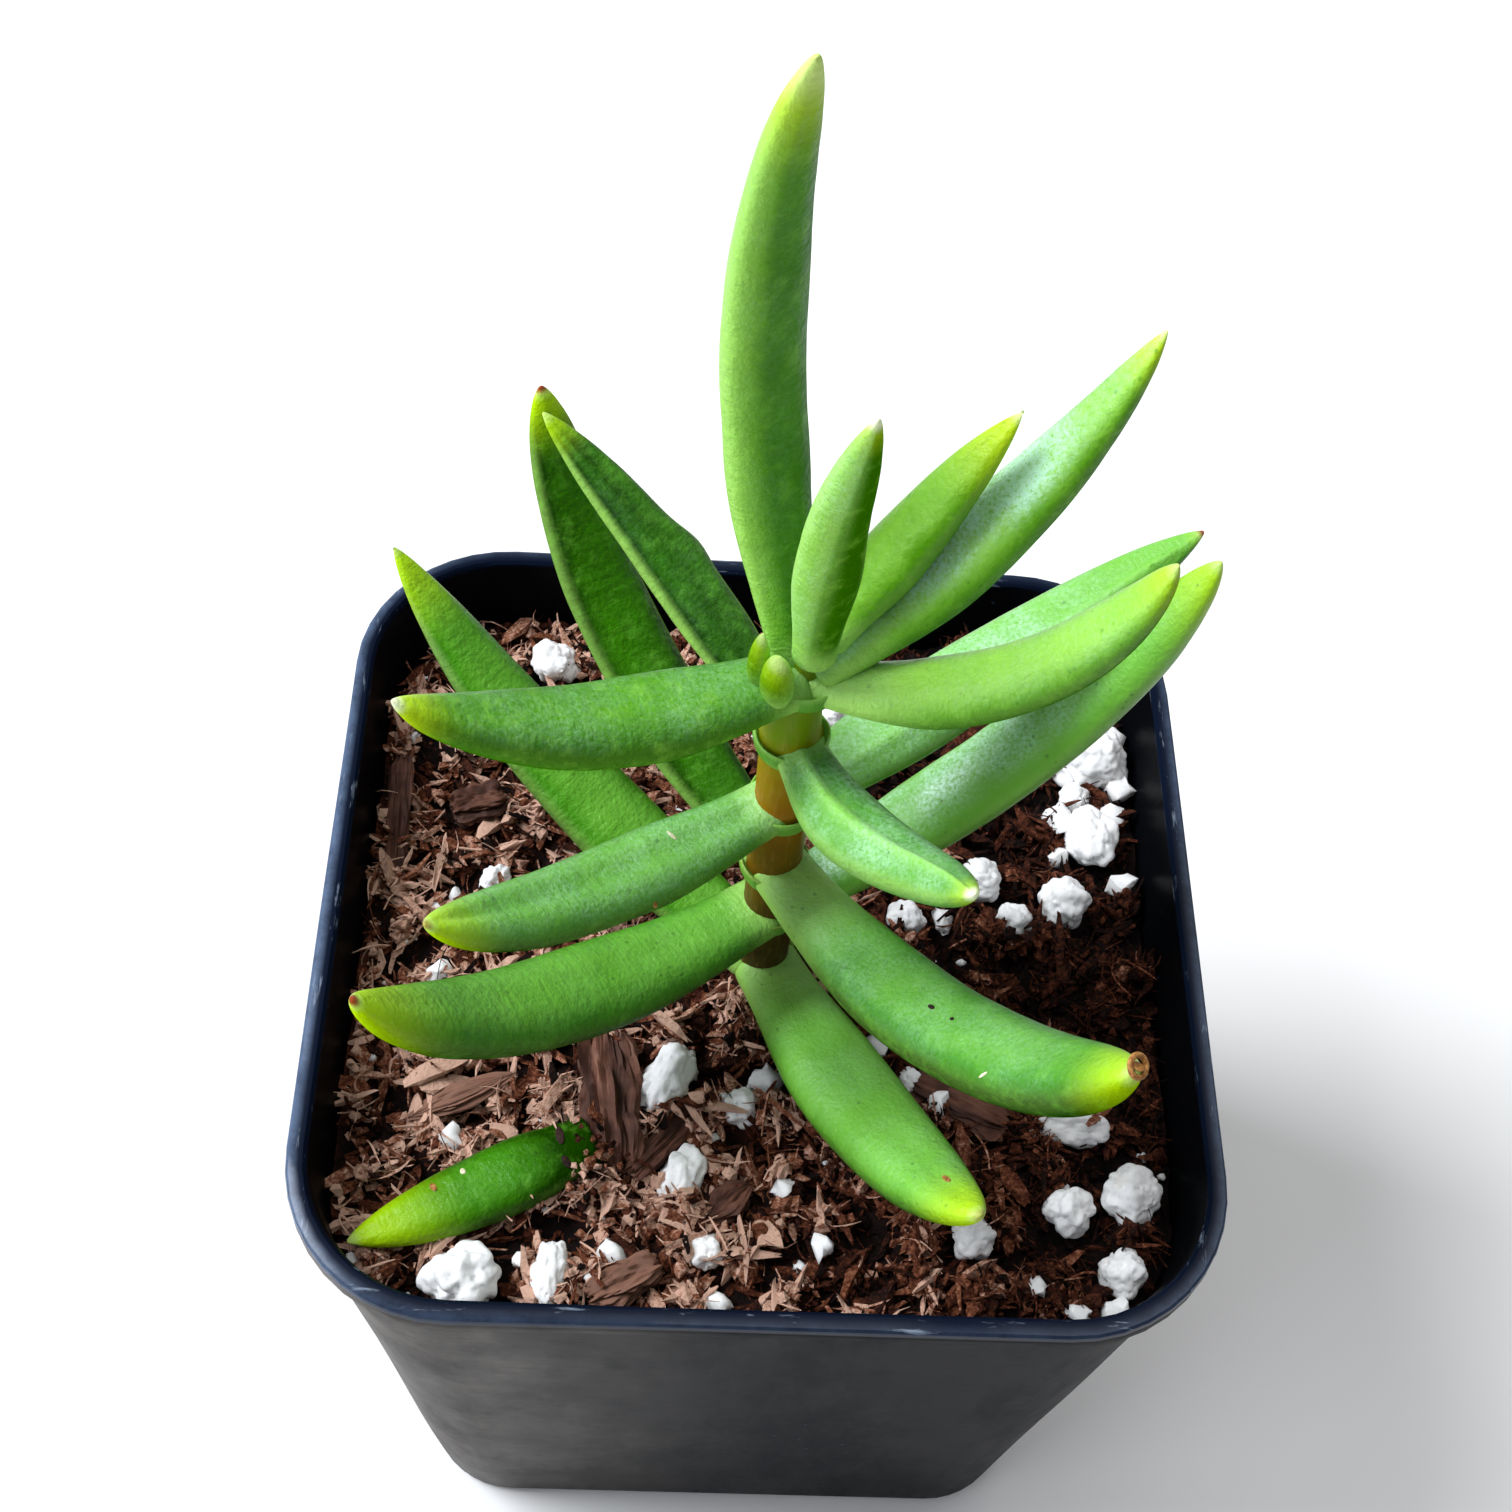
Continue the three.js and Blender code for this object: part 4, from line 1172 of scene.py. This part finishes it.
# %% [markdown]
# ## Bark chips
# A chip of conifer bark splits along its grain, so it is long and grooved lengthwise, with ragged ends, and
# its surface is duller than the wood under it. Each starts as a cube, cut and rounded by subdivision, then
# narrowed and roughened with noise stretched along the grain. The same grain is painted on its points, so
# the streaks of its colour run with the grooves whichever way the chip lies.

# %% Bark finish
bark_finish, tree, spot = new_material("split_pine_bark")
painted = {kind: add(tree, "Attribute", output="Fac", attribute_name=kind)
           for kind in ("across", "along", "dry", "shade")}
with_grain = add(tree, "CombineXYZ", {"X": painted["across"], "Z": painted["along"]})
with_grain = add(tree, "Mapping", {"Vector": with_grain, "Scale": (40 * MM, 1.0, 2 * MM)})
streaks = pattern(tree, with_grain, 1.4, most=0.7, detail=5.0, roughness=0.65)
mottle = pattern(tree, spot, 1.1, most=0.3)
mottle = add(tree, "Math", {0: streaks, 1: mottle}, operation="ADD")
tone = add(tree, "ValToRGB", {"Fac": mottle}, stops=[
    (0.30, "140805"), (0.46, "45261A"), (0.60, "6E4636"), (0.78, "AC8876")])
tone = coat(tree, tone, "A87C66", painted["dry"])
# Darker towards the chip's underside
toward_underside = add(tree, "MapRange", {"Value": painted["shade"], "To Min": 0.85, "To Max": 0.0})
tone = coat(tree, tone, "150908", toward_underside)
finish_material(tree, {"Base Color": tone, "Roughness": 0.72, "Specular IOR Level": 0.35}, streaks, 0.57)
print("bark finish ready")

# %% Bark chips
BARK = [
    {"at": (-9.4, -12.2), "size": (8.8, 3.6, 2.6), "heading": 98, "tilt": 4},
    {"at": (-5.7, -14.4), "size": (7, 1.8, 1.3), "heading": 52, "tilt": -6},
    {"at": (-8, -24), "size": (4.6, 2.2, 1.6), "heading": 28, "tilt": 8, "dry": 0.3, "lift": 0.5},
    {"at": (-18.9, -12.2), "size": (7, 1.7, 1.1), "heading": 25, "tilt": 5, "taper": 0.9, "blunt": 2,
     "dry": 0.4, "lift": 0.7},
    {"at": (13.2, -11.3), "size": (6.2, 3.2, 1.6), "heading": -24, "tilt": -5},
    {"at": (-25, 8.4), "size": (9.4, 1.5, 1.4), "heading": 92, "tilt": 6},
    {"at": (-19.6, 9.8), "size": (3.6, 2.8, 2.2), "heading": 20, "tilt": 0},
    {"at": (-1.8, -18.6), "size": (3.4, 2.2, 1.4), "heading": 40, "tilt": 10, "taper": 0.7, "blunt": 2},
]
BARK_LIFT = 0.3
CHIP_CUTS = 9
RAGGED_ENDS = 0.24
CHIP_ROUNDNESS = 0.75
# How fine the grain's grooves and the rough breaks are along, across and through a chip, and how deep
CHIP_RELIEF = [((0.8, 4.0, 2.5), 0.32), ((2.4, 8.0, 5.0), 0.20), ((2.5, 2.5, 2.5), 0.20)]


def bark_chip(chip, index):
    length, width, thickness = chip["size"]
    clear_selection()
    bpy.ops.mesh.primitive_cube_add(size=1)
    piece = bpy.context.object
    edit(piece)
    bpy.ops.mesh.subdivide(number_cuts=CHIP_CUTS)
    leave_edit()
    round_off(piece)
    seed = Vector((17.0 * index, 3.0, 5.0))
    along, across = [], []
    for point in piece.data.vertices:
        x, y, z = point.co * 2
        end = noise.noise(Vector((0.2, y * 4, z * 3)) + seed) * RAGGED_ENDS
        taper = 1 - chip.get("taper", 0.25) * abs(x) ** chip.get("blunt", 8)
        relief = sum(
            noise.noise(Vector((x * along_x, y * along_y, z * along_z)) + seed) * depth
            for (along_x, along_y, along_z), depth in CHIP_RELIEF)
        rounded = mix(1, 1 / max(math.hypot(y, z), 1), CHIP_ROUNDNESS)
        swell = taper * (rounded + relief)
        along.append(x * length / 2)
        across.append(math.atan2(z, y) * width / 6)
        point.co = Vector((x * length * (0.94 + end), y * width * swell, z * thickness * swell)) * MM / 2
    paint(piece, "along", [0.5 + value / 20 for value in along])
    paint(piece, "across", [0.5 + value / 10 for value in across])
    paint(piece, "shade", [smooth(0.75 + point.co.z / MM) for point in piece.data.vertices])
    paint(piece, "dry", [chip.get("dry", 0.0)] * len(along))
    x, y = chip["at"]
    lift = BARK_LIFT * thickness + chip.get("lift", 0.2)
    piece.rotation_euler = (0, -math.radians(chip["tilt"]), math.radians(chip["heading"]))
    piece.location = Vector((x, y, SOIL_LEVEL + SOIL_MOUND / 2 + lift)) * MM
    settle(piece)
    smooth_surface(piece, 50)
    return piece


for index, chip in enumerate(BARK, start=1):
    node = f"bark_{index}"
    hand_over(bark_chip(chip, index), node + "_chip", bark_finish, "bark", node)
print(len(BARK), "bark chips")

# %% [markdown]
# ## Perlite
# Perlite is volcanic glass popped like corn: chalky white lumps, full of tiny bubbles, so light goes a
# little way into it and comes out again. A faceted rock would look too hard. So a grain is an ico sphere
# whose points are pushed in and out by two sizes of noise, and pitted where a finer one is lowest. Its finish
# is matte white with pale grey-blue pits, a painted shade in its bubbles, and a few tea-coloured stains from
# the mix.

# %% Perlite finish
perlite_finish, tree, spot = new_material("popped_perlite")
# The pits are painted pale grey-blue, a painted shade in the bubbles
pits = pattern(tree, spot, 0.55, 0.30, 0.48, 0.25, 0.0, roughness=0.6)
stain = pattern(tree, spot, 2.6, 0.60, 0.78, 0.0, 0.35, roughness=0.6)
tone = coat(tree, "FDFDFD", "A6B2C4", pits)
tone = coat(tree, tone, "C9B49E", stain)
finish_material(tree, {
    "Base Color": tone,
    "Roughness": 0.85,
    "Subsurface Weight": 0.6,
    "Subsurface Radius": (1.0, 1.0, 1.0),
    "Subsurface Scale": 0.8 * MM,
}, pattern(tree, spot, 0.35), 0.04)
print("perlite finish ready")

# %% Perlite grains
PERLITE = [
    {"at": (-17.9, -24.1), "size": 4.2},
    {"at": (-12.6, -23.4), "size": 2.2, "long": 3.8, "turn": 0},
    {"at": (-3.1, -21.9), "size": 2.1},
    {"at": (-4.6, -17), "size": 2.7, "long": 4, "turn": -13},
    {"at": (-6, -10.6), "size": 3.2, "long": 5.6, "turn": -27},
    {"at": (-1.1, -12.3), "size": 2.3},
    {"at": (13.6, -20.4), "size": 2.6},
    {"at": (19.7, -18.5), "size": 2.9},
    {"at": (23.7, -17.4), "size": 3.6},
    {"at": (22.7, -22.4), "size": 2.9},
    {"at": (20.3, -12.6), "size": 2.6, "long": 4.4, "turn": 80},
    {"at": (9.9, -10), "size": 1.9},
    {"at": (15.4, 5.4), "size": 2.8},
    {"at": (17.4, 2.3), "size": 2.6},
    {"at": (21, 3.8), "size": 3.4},
    {"at": (10, 2.2), "size": 2.4},
    {"at": (23.2, 9), "size": 3.6, "long": 4.4, "turn": 10},
    {"at": (22.3, 12.5), "size": 2.2},
    {"at": (24, 15.6), "size": 4.6},
    {"at": (-15.1, 22.4), "size": 3.2},
    {"at": (-18, 4), "size": 2},
    {"at": (5, 18.9), "size": 2.2},
]
PERLITE_LIFT = 0.18
PERLITE_LUMPS = [(1.1, 0.32), (2.6, 0.19)]
PIT_FINENESS = 5.5
PIT_SHARE = 0.10
PIT_DEPTH = 0.22


def perlite_grain(grain_at, index):
    size = grain_at["size"]
    length = grain_at.get("long", size)
    clear_selection()
    bpy.ops.mesh.primitive_ico_sphere_add(subdivisions=5, radius=1)
    piece = bpy.context.object
    seed = Vector((7.3 * index, 1.7, 4.1))
    for point in piece.data.vertices:
        away = point.co.normalized()
        lumps = sum(noise.noise(away * fineness + seed) * depth for fineness, depth in PERLITE_LUMPS)
        pits = min(noise.noise(away * PIT_FINENESS + seed) + PIT_SHARE, 0) * PIT_DEPTH
        point.co = Vector((away.x * size, away.y * length, away.z * size)) * (1 + lumps + pits) * MM / 2
    x, y = grain_at["at"]
    piece.rotation_euler = (0, 0, math.radians(grain_at.get("turn", 0)))
    piece.location = Vector((x, y, SOIL_LEVEL + SOIL_MOUND / 2 + PERLITE_LIFT * size + 0.3)) * MM
    settle(piece)
    smooth_surface(piece, 60)
    return piece


for index, grain_at in enumerate(PERLITE, start=1):
    node = f"perlite_{index}"
    hand_over(perlite_grain(grain_at, index), node + "_grain", perlite_finish, "perlite", node)
print(len(PERLITE), "perlite grains")

# %% [markdown]
# ## What lies on the mix
# Splinters, flakes, fibres and crumbs are each modelled once, as a small part with few faces. Instances
# would be lighter, but a finished model needs real meshes, so copies are joined into one mesh of each kind.
# A seeded draw lays them over the ground, tilted and sized at random. They lie thickest on its lumps and turn
# together in loose bundles, as shreds do, and they keep clear of the grains and chips that are pieces of
# their own.

# %% Small parts
def small_part(make, cuts=0):
    """The points and faces of a part one unit long, cut across its length as often as asked."""
    clear_selection()
    make()
    part = bpy.context.object
    settle(part)
    if cuts:
        edit_edges(part, lambda edge: abs(edge_vector(part, edge).x) > 0.5)
        bpy.ops.mesh.subdivide(number_cuts=cuts)
        leave_edit()
    points = [point.co.copy() for point in part.data.vertices]
    faces = [tuple(face.vertices) for face in part.data.polygons]
    bpy.data.objects.remove(part)
    return points, faces


def add_rod():
    lying = (0, math.radians(90), 0)
    bpy.ops.mesh.primitive_cylinder_add(vertices=3, radius=0.5, depth=1, rotation=lying)


splinter = small_part(lambda: bpy.ops.mesh.primitive_cube_add(size=1), cuts=2)
flake = small_part(lambda: bpy.ops.mesh.primitive_cube_add(size=1), cuts=5)
fibre = small_part(add_rod, cuts=4)
crumb = small_part(lambda: bpy.ops.mesh.primitive_ico_sphere_add(subdivisions=1, radius=0.5))
pebble = small_part(lambda: bpy.ops.mesh.primitive_ico_sphere_add(subdivisions=2, radius=0.5))
print("faces of each small part:", [len(part[1]) for part in (splinter, flake, fibre, crumb, pebble)])

# %% Open places on the mix
SCATTER_SEED = 271
HOLLOW_CHANCE = 0.14
GRAIN_COVERS = 0.5
CHIP_COVERS = 0.4
KEEP_CLEAR = [(grain_at["at"], GRAIN_COVERS * grain_at["size"]) for grain_at in PERLITE]
for chip in BARK:
    heading = math.radians(chip["heading"])
    for part_way in (-0.3, 0, 0.3):
        reach = part_way * chip["size"][0]
        middle = (chip["at"][0] + reach * math.cos(heading), chip["at"][1] + reach * math.sin(heading))
        KEEP_CLEAR.append((middle, CHIP_COVERS * chip["size"][1]))
ON_MIX = wall_outline(SOIL_LEVEL, SOIL_INSET + 0.5)
draw = random.Random(SCATTER_SEED)
# Blender's noise vectors are drawn from the clock until they get a seed
noise.seed_set(SCATTER_SEED)


def clump(x, y):
    """How much the mix is heaped here, from 0 to 1."""
    return smooth(0.5 + 1.4 * noise.noise(Vector((x, y, 0)) / SOIL_LUMP))


def open_spot():
    """A place on the mix that isn't on a perlite grain or a bark chip."""
    half, corner, _ = ON_MIX
    while True:
        x, y = (draw.uniform(-half, half) for _ in range(2))
        x, y = into_round_corners(x, y, half, corner)
        covered = any(math.hypot(x - at[0], y - at[1]) < radius for at, radius in KEEP_CLEAR)
        if not covered and draw.random() < mix(HOLLOW_CHANCE, 1.0, clump(x, y)):
            return x, y


def resting(low, high):
    """A place on the mix, this much above its ground, and more where it is heaped."""
    x, y = open_spot()
    lift = draw.uniform(low, high) * mix(0.4, 1.6, clump(x, y))
    return Vector((x, y, ground_height(x, y) + lift))


print("small things keep off", len(KEEP_CLEAR), "covered places")

# %% Laying small parts down
BUNDLE = 6.0
BUNDLE_SWING = 9
HEADING_SPREAD = 0.8
ROLL_SPREAD = 0.6


def laid(part, size, place, tilt, rough, taper=0.0, curl=0.0):
    """A copy of a small part, narrowed to its ends, curled, shaken, sized, turned and put in its place."""
    heading = BUNDLE_SWING * noise.noise(Vector((place.x, place.y, 70)) / BUNDLE)
    heading += draw.gauss(0, HEADING_SPREAD)
    turn = Matrix.Rotation(heading, 3, "Z") @ Matrix.Rotation(tilt, 3, "Y")
    turn = turn @ Matrix.Rotation(draw.gauss(0, ROLL_SPREAD), 3, "X")
    seed = Vector((draw.uniform(0, 99), draw.uniform(0, 99), 0))
    points = []
    for point in part[0]:
        narrow = 1 - taper * (2 * point.x) ** 2
        shaken = Vector((point.x, point.y * narrow, point.z * narrow))
        shaken += noise.noise_vector(point * 2.3 + seed) * rough
        at = Vector((shaken.x * size[0], shaken.y * size[1], shaken.z * size[2]))
        at.z += curl * size[0] * (4 * point.x * point.x - 0.4)
        at.y += curl * size[0] * math.sin(3 * point.x + seed.x)
        points.append(turn @ at + place)
    return points


def brown(place, middle, spread_by):
    # Painted light and shade: lighter on the heaps, darker in the hollows, and lighter towards the left
    heaped = mix(0.45, 1.25, clump(place.x, place.y))
    return min(max(draw.gauss(middle, spread_by), 0.02), 1.1) * heaped * light_on_mix(place.x, place.y)


def joined(name, count, material, slot, part, one, smoothed=False):
    """One mesh of many small copies, each with its own shade."""
    points, faces, shades = [], [], []
    for _ in range(count):
        copy, shade = one()
        start = len(points)
        points += [point * MM for point in copy]
        faces += [tuple(start + k for k in face) for face in part[1]]
        shades += [shade] * len(copy)
    piece = from_points(name, points, [], faces)
    paint(piece, "shade", shades)
    edit(piece)
    leave_edit_facing_out()
    if smoothed:
        smooth_surface(piece, 50)
    hand_over(piece, name, material, slot)
    print(name, "has", count, "parts and", len(faces), "faces")


print("the mix's colours run from", round(light_on_mix(-RIM_HALF, 0), 2), "to", round(light_on_mix(RIM_HALF, 0), 2))

# %% Scattering
def one_splinter():
    place = resting(-0.1, 0.7)
    size = (mix(0.7, 3.8, draw.random() ** 1.5), draw.uniform(0.15, 0.60), draw.uniform(0.12, 0.34))
    tilt = math.radians(draw.gauss(0, 22))
    return laid(splinter, size, place, tilt, 0.24, 0.6, draw.gauss(0, 0.10)), brown(place, 0.54, 0.27)


def one_flake():
    place = resting(0.2, 0.8)
    size = (draw.uniform(2.0, 4.4), draw.uniform(0.5, 1.2), draw.uniform(0.3, 0.6))
    tilt = math.radians(draw.gauss(0, 14))
    return laid(flake, size, place, tilt, 0.22, 0.7, draw.uniform(-0.1, 0.1)), brown(place, 0.58, 0.24)


def one_fibre():
    place = resting(0.1, 1.0)
    width = draw.uniform(0.07, 0.18)
    tilt = math.radians(draw.gauss(0, 28))
    size = (draw.uniform(0.8, 3.0), width, width)
    return laid(fibre, size, place, tilt, 0.12, 0.4, draw.gauss(0, 0.16)), brown(place, 0.54, 0.24)


def one_crumb():
    width = mix(0.25, 1.3, draw.random() ** 2)
    place = resting(0.1, 0.7)
    size = (width, width * draw.uniform(0.5, 1), width * 0.7)
    return laid(crumb, size, place, 0, 0.5), brown(place, 0.52, 0.27)


def one_heaped():
    """A crumb of the little heap that lies against the fallen leaf's foot."""
    x, y, z = FALLEN_FOOT
    place = Vector((x + draw.gauss(-0.3, 0.8), y + draw.gauss(-0.9, 1.3), z + draw.uniform(-0.6, 0.9)))
    width = draw.uniform(0.3, 1.0)
    size = (width, 0.7 * width, 0.6 * width)
    return laid(crumb, size, place, draw.uniform(-1, 1), 0.5), brown(place, 0.45, 0.2)


SCATTERED = [
    ("mix_splinters", 4600, splinter, one_splinter),
    ("mix_flakes", 240, flake, one_flake),
    ("mix_fibres", 4200, fibre, one_fibre),
    ("mix_crumbs", 9000, crumb, one_crumb),
    ("mix_heap", 70, crumb, one_heaped),
]
for name, count, part, one in SCATTERED:
    joined(name, count, shred_finish, "soil", part, one)

# %% Small perlite
SMALL_PERLITE = [
    (-14.4, -22.6, 1.1), (-12.7, -25.3, 1.1), (-8.8, -22.2, 2.0), (-10, -23.7, 0.8), (0.6, -10.2, 1.9),
    (1.5, -17.5, 1.5), (4.1, -21.3, 1.8), (22.2, -25.0, 1.9), (19.8, -25.0, 1.6), (17.3, -23.7, 1.3),
    (11.6, -11.7, 1.8), (7.8, -7.6, 2.0), (12.6, 2.1, 1.8), (25.2, 5.7, 2.2), (-20.6, 3, 0.9),
    (-21.2, -3.3, 1.6), (-19.3, -15, 1.8), (-24.6, -23.0, 0.8), (-21.1, -25.0, 0.8), (-2.2, -25.0, 1.8),
    (25.7, 13.4, 2.2), (25.6, 17.8, 2.0), (21.2, 10.4, 2.0), (24.9, 11.2, 1.8), (22.0, 14.6, 1.8),
    (20.9, 7.6, 1.6),
]
small_places = iter(SMALL_PERLITE)


def one_pebble():
    listed = next(small_places, None)
    x, y, width = listed if listed else (*open_spot(), mix(0.25, 0.9, draw.random() ** 2))
    place = Vector((x, y, ground_height(x, y) + 0.3 * width + 0.35))
    return laid(pebble, (width, width * draw.uniform(0.7, 1.3), width * 0.8), place, 0, 0.30), 1.0


joined("small_perlite", 150, perlite_finish, "perlite", pebble, one_pebble, smoothed=True)

# %% [markdown]
# ## Marks on the leaves
# A few small marks show that the plant has lived. The tip of one leaf ends in a disc of cork with a raised
# ring round it, where it was once hurt, and grit, a pale scratch and brown spots lie on others. They could
# be painted, but they stand up from the skin and catch the light. So each is a flattened grain pressed onto
# the nearest point of the skin, and the ring is a small torus.

# %% Where the marks are
CALLUS_AT = (17.3, -22.8, 80.5)
MARKS = {
    "grit": [
        ("leaf_3_front", (8.6, -14.5, 70.0), (0.50, 0.30)),
        ("leaf_3_front", (9.6, -15.6, 70.8), (0.30, 0.25)),
        ("leaf_fallen", (-12.4, -15.3, 52.4), (1.30, 0.55)),
        ("leaf_fallen", (-12.0, -16.9, 51.9), (0.90, 0.50)),
    ],
    "cork": [
        ("leaf_1_front", (10.2, -21.5, 62.4), (0.80, 0.35)),
        ("leaf_fallen", (-19.9, -19.0, 52.5), (0.70, 0.40)),
        ("leaf_4_left", (-7.1, -10.1, 72.6), (0.55, 0.28)),
        ("leaf_3_front", CALLUS_AT, (0.85, 0.75)),
    ],
    "pale": [
        ("leaf_3_front", (10.8, -19.9, 72.8), (0.70, 0.18)),
        ("leaf_4_left", (-6.3, -6.0, 73.4), (0.75, 0.22)),
        ("leaf_fallen", (-18.2, -17.9, 52.5), (0.50, 0.35)),
    ],
}
print("marks:", {kind: len(marks) for kind, marks in MARKS.items()})

# %% Finishes of the marks
def plain_finish(name, dark, bright, roughness):
    """A dull dry skin, speckled between two tones."""
    material, tree, spot = new_material(name)
    speckle = pattern(tree, spot, 0.2, 0.35, 0.65)
    tone = coat(tree, dark, bright, speckle)
    sockets = {"Base Color": tone, "Roughness": roughness, "Specular IOR Level": 0.3}
    finish_material(tree, sockets, speckle, 0.015)
    return material


mark_finishes = {
    "grit": plain_finish("dark_grit", "120906", "3A2218", 0.8),
    "cork": plain_finish("brown_leaf_cork", "7A4A1E", "B98648", 0.7),
    "pale": plain_finish("pale_dry_skin", "CFC79A", "EFEBD0", 0.7),
}
print(len(mark_finishes), "finishes for the marks")

# %% Marks
CALLUS_FACING = Vector((0.55, -0.35, 0.75))
CALLUS_RADIUS = 0.56
CALLUS_RING = 0.17
MARK_THICKNESS = 0.12


def on_skin(leaf_name, at):
    """The nearest point of a leaf's skin, and the turn that lays a flat thing on it there."""
    skin = bpy.data.objects[leaf_name + "_skin"]
    _, place, normal, _ = skin.closest_point_on_mesh(Vector(at) * MM)
    return place, normal.to_track_quat("Z", "X").to_euler()


for kind, marks in MARKS.items():
    parts = []
    for leaf_name, at, (length, width) in marks:
        place, facing = on_skin(leaf_name, at)
        clear_selection()
        bpy.ops.mesh.primitive_ico_sphere_add(subdivisions=3, radius=0.5, location=place, rotation=facing)
        bpy.context.object.scale = Vector((length, width, MARK_THICKNESS)) * MM
        parts.append(bpy.context.object)
    if kind == "cork":
        place, _ = on_skin("leaf_3_front", CALLUS_AT)
        facing = CALLUS_FACING.to_track_quat("Z", "X").to_euler()
        bpy.ops.mesh.primitive_torus_add(
            location=place, rotation=facing, major_segments=32, minor_segments=12,
            major_radius=CALLUS_RADIUS * MM, minor_radius=CALLUS_RING * MM)
        parts.append(bpy.context.object)
    clear_selection()
    for part in parts:
        part.select_set(True)
    bpy.context.view_layer.objects.active = parts[0]
    bpy.ops.object.join()
    marks_piece = bpy.context.object
    settle(marks_piece)
    smooth_surface(marks_piece, 60)
    hand_over(marks_piece, "marks_" + kind, mark_finishes[kind], "leaf")
print("marks of", len(MARKS), "kinds pressed onto the leaves")
